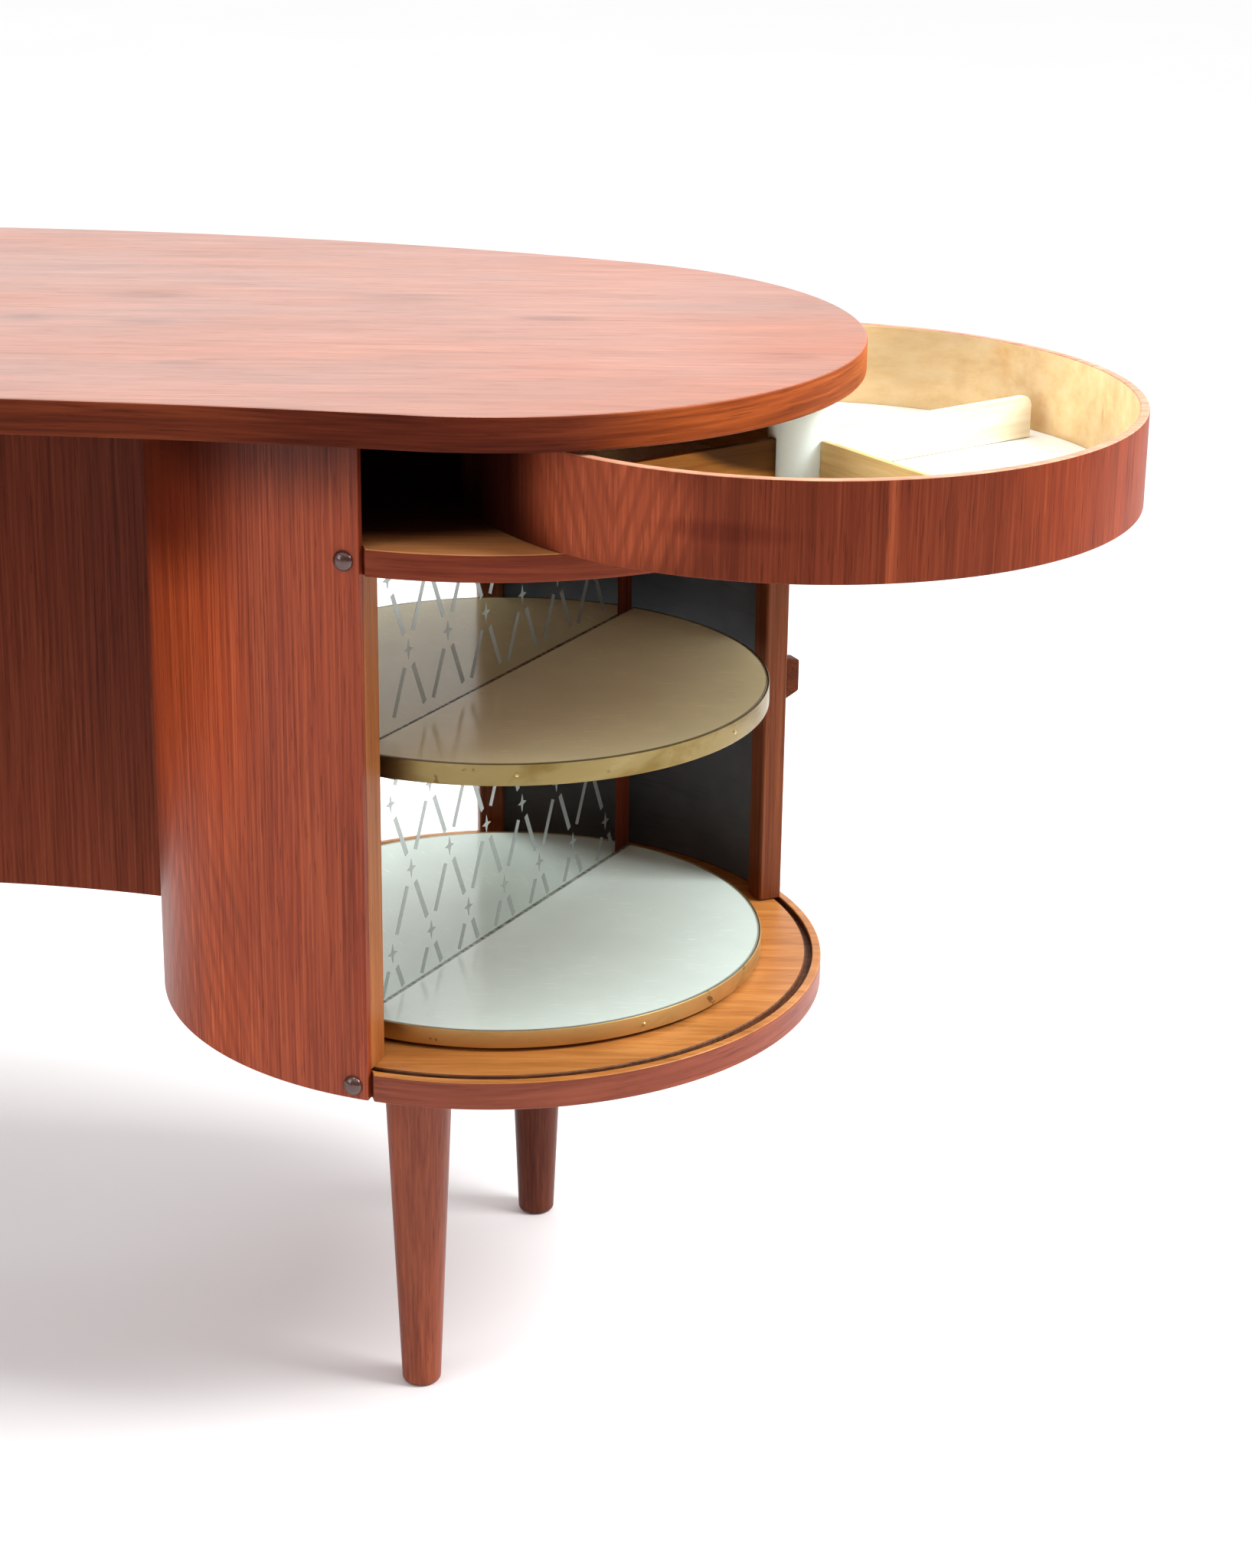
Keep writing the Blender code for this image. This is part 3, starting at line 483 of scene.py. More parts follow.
# Marks on the birch lining of the drawer; the last two are painted shade: a divider's shadow on the lining,
# and shade along its foot.
BIRCH_MARKS_AND_PAINTED_SHADE = on_level(
    (47.5, 0.713, 3.2, 0.01, (0.97, 0.88, 0.78), 0.1),
    (46.5, 0.698, 2.0, 0.016, (0.95, 0.87, 0.8), 0.1),
    (56.3, 0.688, 2.6, 0.018, (0.9, 0.86, 0.8), 0.1),
    (66.0, 0.679, 7.0, 0.009, (0.93, 0.88, 0.83), 0.1),
    (18.5, 0.69, 0.7, 0.01, (0.8, 0.7, 0.62), 0.1),
    (70.0, 0.685, 18.0, 0.045, (0.94, 0.94, 0.93), 0.1),
    (38.5, 0.668, 5.5, 0.026, (0.62, 0.5, 0.38), 0.1),
    (29.0, 0.656, 10.0, 0.011, (0.66, 0.55, 0.44), 0.1),
)
# Painted shadow: the desktop edge's shadow across the upper part of one divider, next to the hub.
BOARD_PAINTED_SHADOW = on_level((-0.01, 0.2017, 0.204, 0.204, (0.17, 0.155, 0.13), 0.955))
# Painted shade on the deck's top: dark across the drawer bay, behind a lit strip along its front edge.
DECK_PAINTED_SHADE = on_level((-0.05, 0.02, 0.236, 0.236, (0.13, 0.1, 0.1), 0.86), level=DECK_HIGH)

# Figures of the veneer, as wood() takes them
WALL_FIGURE = (-152.0, DRUM_RADIUS, 0.4, 0.015, 0.13, 0.45, (0.38, 0.5))
RIM_FIGURE = (-123.0, DRAWER_RADIUS, -0.32, 0.0105, 0.08, 0.75, (0.8, 0.9))

# Tones that more than one wood has
WALL_TONES = ((0.17, 0.025, 0.009), (0.275, 0.047, 0.017), (0.37, 0.08, 0.028))
PANEL_TONES = ((0.09, 0.017, 0.008), (0.145, 0.028, 0.012), (0.19, 0.042, 0.018))
RIM_TONES = ((0.11, 0.019, 0.0075), (0.145, 0.026, 0.01), (0.18, 0.037, 0.0135))

# Grain: the axis it follows or XY for edges, how fine it is along and across, how far it wavers, how dark
# the pores are, how rough the finish is and how strong its relief is
PLAIN = (0.35, 0.36, 0.14)
TOP_GRAIN = ("X", 5.0, 60.0, 0.02, 0.15, 0.34, 0.08)
EDGE_GRAIN = ("XY", 5.0, 70.0, 0.012, 0.35, 0.4, 0.14)
WALL_GRAIN = ("Z", 3.0, 115.0, 0.01, 0.5, 0.36, 0.14)
PANEL_GRAIN = ("Z", 3.0, 70.0, 0.02, *PLAIN)
SCREEN_GRAIN = ("Z", 3.0, 100.0, 0.014, *PLAIN)
RIM_GRAIN = ("Z", 5.0, 125.0, 0.01, 0.5, 0.36, 0.14)
BAND_GRAIN = ("XY", 6.0, 70.0, 0.01, *PLAIN)
LEG_GRAIN = ("Z", 4.0, 110.0, 0.006, *PLAIN)
STILE_GRAIN = ("Z", 3.0, 100.0, 0.006, *PLAIN)
JAMB_GRAIN = ("Z", 3.0, 110.0, 0.006, *PLAIN)
LIP_GRAIN = ("X", 20.0, 60.0, 0.02, 0.2, 0.45, 0.14)
FLOOR_GRAIN = ("X", 6.0, 40.0, 0.03, 0.2, 0.34, 0.14)
BIRCH_GRAIN = ("X", 5.0, 18.0, 0.05, 0.05, 0.42, 0.05)
PLY_GRAIN = ("X", 5.0, 50.0, 0.02, 0.06, 0.45, 0.05)
DARK_GRAIN = ("Z", 14.0, 200.0, 0.004, 0.2, 0.17, 0.14)
GROOVE_GRAIN = ("X", 9.0, 80.0, 0.02, 0.3, 0.6, 0.14)

TEAK_TOP = wood(
    "teak_top", ((0.22, 0.08, 0.049), (0.28, 0.106, 0.067), (0.33, 0.135, 0.086)), TOP_GRAIN, 0.68, TOP_MARKS
)
TEAK_EDGE = wood(
    "teak_edge", ((0.068, 0.012, 0.0045), (0.106, 0.019, 0.0065), (0.15, 0.031, 0.01)), EDGE_GRAIN, 0.06,
    EDGE_PAINTED_LIGHT_AND_SHADE,
)
TEAK_WALL = wood("teak_wall", WALL_TONES, WALL_GRAIN, 0.18, bent_marks_and_painted_light=WALL_PAINTED_LIGHT_AND_SHADE, figure=WALL_FIGURE)
TEAK_SLATS = wood("teak_slats", WALL_TONES, WALL_GRAIN, 0.18)
TEAK_PANEL = wood("teak_panel", PANEL_TONES, PANEL_GRAIN, 0.06)
TEAK_SCREEN = wood("teak_screen", PANEL_TONES, SCREEN_GRAIN, 0.06, SCREEN_PAINTED_LIGHT)
TEAK_RIM = wood("teak_rim", RIM_TONES, RIM_GRAIN, 0.07, bent_marks_and_painted_light=RIM_MARKS_AND_PAINTED_LIGHT, figure=RIM_FIGURE)
PLAIN_RIM = wood("plain_rim", RIM_TONES, RIM_GRAIN, 0.07)
TEAK_BAND = wood(
    "teak_band", ((0.145, 0.03, 0.015), (0.198, 0.044, 0.021), (0.24, 0.058, 0.028)), BAND_GRAIN, 0.17
)
TEAK_DECK = wood(
    "teak_deck", ((0.115, 0.02, 0.009), (0.158, 0.03, 0.013), (0.19, 0.04, 0.017)), BAND_GRAIN, 0.08
)
DECK_TONES = ((0.47, 0.18, 0.056), (0.58, 0.235, 0.08), (0.66, 0.295, 0.105))
DECK_FLOOR = wood("deck_floor", DECK_TONES, FLOOR_GRAIN, marks_and_painted_light=DECK_PAINTED_SHADE)
TEAK_LEG = wood(
    "teak_leg", ((0.17, 0.034, 0.014), (0.24, 0.053, 0.022), (0.3, 0.075, 0.031)), LEG_GRAIN, 0.22
)
# Painted shade: the rear legs in a darker copy of the legs' teak, as they stand in the drums' shade.
REAR_LEG_IN_SHADE = wood(
    "rear_leg_in_shade", ((0.075, 0.017, 0.008), (0.105, 0.025, 0.012), (0.14, 0.036, 0.017)), LEG_GRAIN, 0.15
)
TEAK_STILE = wood(
    "teak_stile", ((0.105, 0.027, 0.01), (0.155, 0.042, 0.015), (0.2, 0.06, 0.022)), STILE_GRAIN, 0.1
)
TEAK_PULL = wood(
    "teak_pull", ((0.065, 0.017, 0.008), (0.095, 0.026, 0.012), (0.13, 0.037, 0.018)), STILE_GRAIN, 0.02
)
LIP = wood("teak_lip", ((0.36, 0.15, 0.085), (0.5, 0.23, 0.14), (0.6, 0.3, 0.19)), LIP_GRAIN)
HONEY = wood("honey_wood", ((0.32, 0.112, 0.025), (0.42, 0.16, 0.037), (0.5, 0.21, 0.055)), FLOOR_GRAIN)
JAMB = wood("jamb_wood", ((0.25, 0.074, 0.017), (0.34, 0.104, 0.025), (0.41, 0.142, 0.038)), JAMB_GRAIN)
BIRCH_TONES = ((0.82, 0.56, 0.27), (0.9, 0.655, 0.345), (0.94, 0.72, 0.42))
BIRCH = wood("birch", BIRCH_TONES, BIRCH_GRAIN, bent_marks_and_painted_light=BIRCH_MARKS_AND_PAINTED_SHADE)
# Lit and shaded copies of one ply for the drawer's dividers: the first as lit, the second in painted shade,
# and the third darker still, with the desktop's shadow painted across it.
DIVIDER = wood("divider_ply", ((0.8, 0.66, 0.42), (0.88, 0.77, 0.56), (0.92, 0.84, 0.66)), PLY_GRAIN)
SHADED = wood("shaded_ply", ((0.58, 0.37, 0.13), (0.69, 0.47, 0.187), (0.76, 0.55, 0.25)), PLY_GRAIN)
SHADOWED_PLY = wood(
    "shadowed_ply", ((0.31, 0.112, 0.016), (0.4, 0.153, 0.024), (0.49, 0.205, 0.037)), PLY_GRAIN, 0.12, BOARD_PAINTED_SHADOW
)
DARK = wood("dark_teak", ((0.045, 0.015, 0.011), (0.07, 0.022, 0.016), (0.1, 0.034, 0.024)), DARK_GRAIN, 0.7)
# Painted shade: the inside of the door's groove in the base plate is in a darker teak than the plate around
# it.
GROOVE = wood("groove_wood", ((0.06, 0.02, 0.008), (0.11, 0.038, 0.014), (0.16, 0.06, 0.022)), GROOVE_GRAIN)
MINT = laminate(
    "mint_laminate", (0.6, 0.705, 0.655), 0.13, corner_shade=(0.12, 0.12, 0.09), rim=BAR_RADIUS - BAND_THICKNESS
)
# Painted shade and painted bounce light: the half shelf's laminate is the turntable's mint laminate given a
# warm beige tint, as it lies in the shade under the deck, lit by light bouncing off the wood above it.
SHELF_LAMINATE_IN_SHADE = laminate(
    "laminate_in_shade", (0.84, 0.745, 0.43), 0.13, 0.28, (0.12, 0.08, 0.04), SHELF_RADIUS - BAND_THICKNESS
)
MINT_PAINT = laminate("mint_paint", (0.86, 0.99, 0.97), 0.3)
WHITE_FLOOR = laminate("pale_floor", (0.87, 0.9, 0.89), 0.25)
BRASS = worn_brass("worn_brass", (0.6, 0.43, 0.18), 0.34)
DULL_BRASS = worn_brass("dull_brass", (0.23, 0.171, 0.07), 0.27)
CANVAS = woven("canvas", (0.105, 0.114, 0.128))

MIRROR_TINTS = ((0.74, 0.77, 0.76), (0.83, 0.85, 0.84))
ETCHED_TINTS = ((0.4, 0.44, 0.42), (0.48, 0.52, 0.5))
STEEL_TINTS = (times((0.56, 0.56, 0.57), 0.85), (0.56, 0.56, 0.57))
FLOOR_TINTS = (times((0.79, 0.785, 0.79), 0.985), (0.79, 0.785, 0.79))
MIRROR = clouded("mirror", (3.0, 0.6, 9.0), MIRROR_TINTS, (0.015, 0.035), Metallic=1.0)
ETCHED = clouded("etched_lines", (2.0, 0.6, 900.0), ETCHED_TINTS, (0.3, 0.42), 0.1, Metallic=0.8)
STEEL = clouded("steel", (2.0, 0.6), STEEL_TINTS, (0.3, 0.42), stretch=(90.0, 90.0, 1500.0), Metallic=1.0)
FLOOR = clouded("floor_paper", (3.0, 0.5, 1.3), FLOOR_TINTS, (0.72, 0.8), Specular_IOR_Level=0.2)


# Meshes


def arc(radius, start, end, centre=(0.0, 0.0), step=1.5):
    """Points on a circle from one angle to another, in degrees."""
    count = max(1, round(abs(end - start) / step))
    spots = [polar(radius, start + (end - start) * i / count) for i in range(count + 1)]
    return [(centre[0] + x, centre[1] + y) for x, y in spots]


def section(inner, outer, low, high):
    """Four square corners, as of a ring's profile."""
    return [(inner, low), (outer, low), (outer, high), (inner, high)]


def rounded(corners, radius, steps=3):
    """A closed outline with its corners rounded, apart from those on the axis."""
    points = []
    for i, corner in enumerate(corners):
        if corner[0] == 0.0:
            points.append(corner)
            continue
        here = Vector(corner)
        before = Vector(corners[i - 1]) - here
        after = Vector(corners[(i + 1) % len(corners)]) - here
        start = here + before.normalized() * min(radius, 0.45 * before.length)
        end = here + after.normalized() * min(radius, 0.45 * after.length)
        for k in range(steps + 1):
            t = k / steps
            point = start * (1 - t) ** 2 + here * (2 * t * (1 - t)) + end * t ** 2
            points.append((point.x, point.y))
    return points


def new_piece(name, shape):
    """Make an object of a bmesh, with its faces pointing outwards."""
    bmesh.ops.remove_doubles(shape, verts=shape.verts, dist=0.000002)
    bmesh.ops.recalc_face_normals(shape, faces=shape.faces)
    mesh = bpy.data.meshes.new(name)
    shape.to_mesh(mesh)
    shape.free()
    piece = bpy.data.objects.new(name, mesh)
    bpy.context.scene.collection.objects.link(piece)
    return piece


def lathe(name, profile, start=0.0, end=360.0, step=1.5, outer=None):
    """Sweep a closed profile of (radius, height) points about z.

    outer, where given, says how far out the profile may reach at an angle.
    """
    shape = bmesh.new()
    full = end - start >= 360.0
    count = round((end - start) / step)
    poles = {j: shape.verts.new((0.0, 0.0, z)) for j, (r, z) in enumerate(profile) if r == 0.0}
    rings = []
    for i in range(count if full else count + 1):
        angle = start + (end - start) * i / count
        ring = []
        for j, (r, z) in enumerate(profile):
            reach = r if outer is None else min(r, outer(angle))
            ring.append(poles[j] if j in poles else shape.verts.new((*polar(reach, angle), z)))
        rings.append(ring)
    pairs = list(zip(rings, rings[1:]))
    if full:
        pairs.append((rings[-1], rings[0]))
    for a, b in pairs:
        for j in range(len(profile)):
            k = (j + 1) % len(profile)
            corners = list(dict.fromkeys((a[j], a[k], b[k], b[j])))
            if len(corners) > 2:
                shape.faces.new(corners)
    if not full:
        shape.faces.new(rings[0])
        shape.faces.new(rings[-1])
    return new_piece(name, shape)


def round_board(name, radius, low, high, rounding=0.0):
    profile = section(0.0, radius, low, high)
    return lathe(name, rounded(profile, rounding) if rounding else profile)


def prism(shape, low, high):
    """Close two outlines that face each other into a solid."""
    shape.faces.new(low)
    shape.faces.new(high)
    for i in range(len(low)):
        k = (i + 1) % len(low)
        shape.faces.new((low[i], low[k], high[k], high[i]))


def soften(shape, width, steps, sharp):
    """Round the edges of a bmesh that are sharper than an angle."""
    limit = math.radians(sharp)
    edges = [edge for edge in shape.edges if edge.calc_face_angle(0.0) > limit]
    bmesh.ops.bevel(
        shape, geom=edges, offset=width, segments=steps, profile=0.5, affect="EDGES", clamp_overlap=True,
    )


def slab(name, outline, bottom, top, rounding, steps=3, sharp=40.0):
    """Extrude a flat outline and round its edges."""
    shape = bmesh.new()
    low = [shape.verts.new((x, y, bottom)) for x, y in outline]
    high = [shape.verts.new((x, y, top)) for x, y in outline]
    prism(shape, low, high)
    bmesh.ops.recalc_face_normals(shape, faces=shape.faces)
    if rounding:
        soften(shape, rounding, steps, sharp)
    return new_piece(name, shape)


def round_ends(piece, width):
    """Round the cut ends of a swept piece."""
    shape = bmesh.new()
    shape.from_mesh(piece.data)
    soften(shape, width, 2, 60.0)
    shape.to_mesh(piece.data)
    shape.free()


def carve(piece, cutter):
    """Cut one mesh out of another, for good."""
    boolean = piece.modifiers.new("carve", "BOOLEAN")
    boolean.operation = "DIFFERENCE"
    boolean.solver = "EXACT"
    boolean.object = cutter
    depsgraph = bpy.context.evaluated_depsgraph_get()
    mesh = bpy.data.meshes.new_from_object(piece.evaluated_get(depsgraph))
    piece.modifiers.clear()
    piece.data = mesh
    bpy.data.objects.remove(cutter)


def shade(piece):
    """Smooth shading that leaves flat faces flat."""
    piece.data.shade_smooth()
    piece.data.set_sharp_from_angle(angle=math.radians(SHARP_ANGLE))
    weigh = piece.modifiers.new("flat_faces", "WEIGHTED_NORMAL")
    weigh.keep_sharp = True


def paint(piece, materials, rule=None):
    """Give a piece its materials, chosen face by face from (radius, height, outward, upward)."""
    for material in materials:
        piece.data.materials.append(material)
    if rule is None:
        return
    for face in piece.data.polygons:
        x, y, z = face.center
        radius = math.hypot(x, y)
        outward = (face.normal.x * x + face.normal.y * y) / max(radius, 1e-9)
        face.material_index = rule(radius, z, outward, face.normal.z)


def enter(piece, body, node):
    """Enter a piece that is in its place: on its body, in the stead of its CAD node."""
    shade(piece)
    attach(piece, body)
    if node:
        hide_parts(node)


def settle(piece, materials, where, node, rule=None):
    """Paint an upright piece, turn it, put it in its place (spot, turn, body) and enter it."""
    spot, turn, body = where
    paint(piece, materials, rule)
    piece.data.transform(Matrix.Rotation(math.radians(turn), 4, "Z"))
    piece.matrix_world = Matrix.Translation((*spot, 0.0))
    enter(piece, body, node)


def tip(piece, spot, turn, reach, level, axis):
    """Tip a piece over about one of its axes, at a distance and a level from a spot."""
    around = Matrix.Translation((*spot, 0.0)) @ Matrix.Rotation(math.radians(turn), 4, "Z")
    over = Matrix.Translation((reach, 0.0, level)) @ Matrix.Rotation(math.pi / 2, 4, axis)
    piece.matrix_world = around @ over


def dress(node, material, rounding=0.0):
    """Give a CAD node its coat, and soft edges."""
    part = NODES[node]
    part.data.materials.clear()
    part.data.materials.append(material)
    if rounding:
        weld = part.modifiers.new("weld", "WELD")
        weld.merge_threshold = 0.00001
        bevel = part.modifiers.new("edge", "BEVEL")
        bevel.width = rounding
        bevel.segments = 3
        bevel.limit_method = "ANGLE"
        bevel.angle_limit = math.radians(50.0)
        bevel.harden_normals = True


# Pieces of the carcass


def desktop_outline():
    """Kidney outline about the middle of the desk: lobes, back arc and waist, all tangent."""
    half = DRUM_SPACING / 2
    back_centre = -math.sqrt((BACK_RADIUS - LOBE_RADIUS) ** 2 - half ** 2)
    waist = LOBE_RADIUS - FRONT_WAIST
    front_radius = (half ** 2 + waist ** 2 - LOBE_RADIUS ** 2) / (2 * FRONT_WAIST)
    front_centre = -(front_radius + waist)
    back_angle = math.degrees(math.atan2(-back_centre, half))
    front_angle = math.degrees(math.atan2(-front_centre, half))
    right_lobe = arc(LOBE_RADIUS, front_angle - 180.0, back_angle, (half, 0.0))
    back = arc(BACK_RADIUS, back_angle, 180.0 - back_angle, (0.0, back_centre), 0.5)
    left_lobe = arc(LOBE_RADIUS, 180.0 - back_angle, 360.0 - front_angle, (-half, 0.0))
    front = arc(front_radius, 180.0 - front_angle, front_angle, (0.0, front_centre), 0.25)
    return right_lobe[:-1] + back[:-1] + left_lobe[:-1] + front[:-1]


def make_desktop():
    """Kidney-shaped top, with a darker edge and a plain underside."""
    piece = slab("desktop_board", desktop_outline(), TOP_LOW, TOP_HIGH, TOP_ROUND, 4)

    def rule(radius, z, outward, upward):
        if upward > 0.6:
            return 0
        return 1 if upward > -0.9 else 2

    settle(piece, [TEAK_TOP, TEAK_EDGE, TEAK_PANEL], (MIDDLE, 0.0, "carcass"), "desktop", rule)


def make_panel():
    """Curved panel between the drums, trimmed to them."""
    half = DRUM_SPACING / 2
    centre = (0.0, PANEL_APEX - PANEL_RADIUS)
    strips = []
    for offset in (PANEL_THICKNESS / 2, -PANEL_THICKNESS / 2):
        radius, reach = PANEL_RADIUS + offset, DRUM_RADIUS + SEAT
        apart = math.hypot(half, centre[1])
        lean = math.acos((radius ** 2 + apart ** 2 - reach ** 2) / (2 * radius * apart))
        end = math.degrees(math.atan2(-centre[1], half) + lean)
        strips.append(arc(radius, end, 180.0 - end, centre, 0.5))
    low, high = levels("modesty_panel")
    piece = slab("curved_panel", strips[0] + strips[1][::-1], low, high, EDGE_ROUND, 2, 50.0)
    settle(piece, [TEAK_SCREEN], (MIDDLE, 0.0, "carcass"), "modesty_panel")


def plate_reach(angle):
    """How far a plate reaches at an angle: to the drum's face in the opening, inside the wall behind."""
    return DRUM_RADIUS if math.cos(math.radians(angle)) > 0.001 else PLATE_STEP


def make_base(side):
    """Base plate, with the door's groove on top."""
    groove = BASE_HIGH - GROOVE_DEPTH
    rim = [(0.0, BASE_LOW), (DRUM_RADIUS, BASE_LOW), (DRUM_RADIUS, BASE_HIGH), (WALL_INNER, BASE_HIGH)]
    profile = rounded(rim, RIM_ROUND)[:-4]
    profile += [(WALL_INNER + SMALL_ROUND, BASE_HIGH), (WALL_INNER, BASE_HIGH - SMALL_ROUND)]
    profile += [(WALL_INNER, groove), (GROOVE_INNER, groove)]
    profile += [(GROOVE_INNER, BASE_HIGH - EDGE_ROUND), (GROOVE_INNER - EDGE_ROUND, BASE_HIGH)]
    base = lathe(side + "_base", profile + [(0.0, BASE_HIGH)], step=1.0, outer=plate_reach)

    def rule(radius, z, outward, upward):
        in_ring = GROOVE_INNER - EDGE_ROUND - 0.0001 < radius < WALL_INNER + 0.0001
        if in_ring and groove - 0.0001 < z < BASE_HIGH - 0.0003:
            return 2
        return 1 if upward > 0.5 else 0

    settle(base, [TEAK_BAND, HONEY, GROOVE], PEDESTAL[side], side + "_base_plate", rule)


def make_deck(side):
    """Deck over the cabinet, with the door's groove below and the slot of the drawer's runner on top."""
    groove = DECK_LOW + GROOVE_DEPTH
    rim = [(WALL_INNER, DECK_LOW), (DRUM_RADIUS, DECK_LOW), (DRUM_RADIUS, DECK_HIGH), (0.0, DECK_HIGH)]
    profile = [(0.0, DECK_LOW), (GROOVE_INNER, DECK_LOW), (GROOVE_INNER, groove), (WALL_INNER, groove)]
    profile += rounded(rim, RIM_ROUND)[4:]
    deck = lathe(side + "_drawer_deck", profile, step=1.0, outer=plate_reach)
    low = levels(side + "_drawer_runner")[0] - SEAT
    slot = section(SLOT_BACK, CUTTER_FRONT, -RUNNER_WIDTH / 2, RUNNER_WIDTH / 2)
    carve(deck, slab("slot_cutter", slot, low, DECK_HIGH + CUTTER_ABOVE, 0.0))

    def rule(radius, z, outward, upward):
        return 1 if upward > 0.5 else 0

    settle(deck, [TEAK_DECK, DECK_FLOOR], PEDESTAL[side], side + "_deck", rule)


def make_wall(side):
    """Bent wall, with the jamb the door shuts on."""
    profile = rounded(section(WALL_INNER, DRUM_RADIUS, *levels(side + "_wall")), WALL_ROUND)
    piece = lathe(side + "_drum_wall", profile, 90.0, 270.0)
    round_ends(piece, WALL_END_ROUND)

    def rule(radius, z, outward, upward):
        return 0 if outward > -0.5 else 1

    settle(piece, [TEAK_WALL, TEAK_PANEL], PEDESTAL[side], side + "_wall", rule)
    dress(side + "_door_jamb", JAMB, EDGE_ROUND)


def plug_profile():
    """Domed head and shank of a plug."""
    points = [(0.0, PLUG_HEAD_HEIGHT)]
    for t in (0.2, 0.5, 0.8, 1.1, 1.4):
        points.append((PLUG_HEAD_RADIUS * math.sin(t), PLUG_HEAD_HEIGHT * math.cos(t)))
    shank = PLUG_HEAD_RADIUS * PLUG_SHANK_SHARE
    points += [(PLUG_HEAD_RADIUS, 0.0), (shank, 0.0)]
    return points + [(shank, -PLUG_SHANK_LENGTH), (0.0, -PLUG_SHANK_LENGTH)]


def make_plugs(side):
    """Domed heads at the ends of the wall."""
    for place, level in (("base", (BASE_LOW + BASE_HIGH) / 2), ("deck", (DECK_LOW + DECK_HIGH) / 2)):
        for end, angle in (("front", 360.0 - PLUG_TURN), ("rear", PLUG_TURN)):
            name = f"{side}_{end}_{place}"
            plug = lathe(name + "_dome", plug_profile(), step=10.0)
            paint(plug, [DARK])
            turn = TURN[side] + HANDS[side] * angle
            tip(plug, AXIS[side], turn, DRUM_RADIUS + SEAT, level, "Y")
            enter(plug, "carcass", name + "_plug")


def leg_profile():
    """Taper of a leg from its top down, with a softly rounded foot."""
    top = BASE_LOW - SEAT
    taper = LEG_FOOT_RADIUS - LEG_TOP_RADIUS
    points = [(0.0, top), (LEG_TOP_RADIUS - SMALL_ROUND, top), (LEG_TOP_RADIUS, top - SMALL_ROUND)]
    for i in range(1, 8):
        points.append((LEG_TOP_RADIUS + taper * i / 8, top + (FOOT_ROUND - top) * i / 8))
    for t in (0.0, 0.3, 0.6, 0.9, 1.2, math.pi / 2):
        reach = LEG_FOOT_RADIUS - FOOT_ROUND + FOOT_ROUND * math.cos(t)
        points.append((reach, FOOT_ROUND - FOOT_ROUND * math.sin(t)))
    return points + [(0.0, 0.0)]


def make_legs(side):
    """Turned legs, the rear ones darker, in painted shade."""
    for end, angle, teak in (("front", -90.0, TEAK_LEG), ("rear", 90.0, REAR_LEG_IN_SHADE)):
        node = f"{side}_{end}_leg"
        leg = lathe(f"{side}_{end}_turned_leg", leg_profile(), step=5.0)
        spot = (sum(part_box(node), Vector()) / 2).to_2d()
        settle(leg, [teak], (spot, TURN[side] + HANDS[side] * angle, "carcass"), node)


def make_left_shelf():
    """Round shelf of the left pedestal on its turned column."""
    shelf = round_board("left_round_shelf", LEFT_SHELF_RADIUS, *levels("left_shelf"), SHELF_ROUND)
    settle(shelf, [HONEY], (AXIS["left"], 0.0, "carcass"), "left_shelf")
    bottom, top = levels("left_shelf_column")
    flare = COLUMN_FOOT - COLUMN_RADIUS
    hollow = arc(flare, 270.0, 180.0, (COLUMN_FOOT, bottom + COLUMN_RIM + flare), 5.0)
    profile = [(0.0, bottom), (COLUMN_FOOT, bottom)] + hollow + [(COLUMN_RADIUS, top), (0.0, top)]
    column = lathe("left_turned_column", profile, step=4.0)
    settle(column, [TEAK_LEG], (AXIS["left"], 0.0, "carcass"), "left_shelf_column")


# Doors and drawers


def curtain_span(side, gap):
    """Angles where the curtain starts, with a gap to the stile, and where it ends."""
    lead = DOOR_LEAD[side]
    return lead + math.degrees((STILE_WIDTH + gap) / SLAT_OUTER), lead + 180.0 + SLAT_OVERLAP


def slat_outline(side):
    """Slats with rounded shoulders, on a flat back."""
    hand = HANDS[side]
    first, last = curtain_span(side, SEAT)
    pitch = (last - first) / SLAT_COUNT
    outer, inner = [], []
    for i in range(SLAT_COUNT):
        start = first + pitch * i
        for part, depth in SLAT_SHOULDERS:
            outer.append(polar(SLAT_OUTER - depth, hand * (start + pitch * part)))
        inner.append(polar(SLAT_INNER, hand * start))
    outer.append(polar(SLAT_OUTER, hand * last))
    inner.append(polar(SLAT_INNER, hand * last))
    return outer + inner[::-1]


def make_door(side):
    """Tambour curtain, its canvas, the stile and the pull."""
    where = (AXIS[side], TURN[side], side + "_door")
    slats = slab(side + "_tambour", slat_outline(side), *levels(side + "_door_slats"), 0.0)
    settle(slats, [TEAK_SLATS], where, side + "_door_slats")
    canvas_low, canvas_high = levels(side + "_door_canvas")
    start, end = sorted(HANDS[side] * angle for angle in curtain_span(side, 2 * SEAT))
    profile = section(CANVAS_INNER, CANVAS_OUTER, canvas_low, canvas_high)
    canvas = lathe(side + "_canvas_back", profile, start, end)
    settle(canvas, [CANVAS], where, side + "_door_canvas")
    dress(side + "_door_stile", TEAK_STILE)
    make_pull(side)


def make_pull(side):
    """Block on the stile, tapered towards its end."""
    node = side + "_door_pull"
    low, high = levels(node)
    half = (high - low) / 2
    end = [(PULL_REACH, PULL_LOW_TAPER - half), (PULL_REACH, half - PULL_HIGH_TAPER)]
    face = [(0.0, -half)] + end + [(0.0, half)]
    pull = slab(side + "_pull_block", face, -PULL_WIDTH / 2, PULL_WIDTH / 2, PULL_ROUND)
    paint(pull, [TEAK_PULL])
    stile = DOOR_LEAD[side] + math.degrees(STILE_WIDTH / 2 / SLAT_OUTER)
    turn = TURN[side] + HANDS[side] * stile
    tip(pull, AXIS[side], turn, SLAT_OUTER + SEAT, (low + high) / 2, "X")
    enter(pull, side + "_door", node)


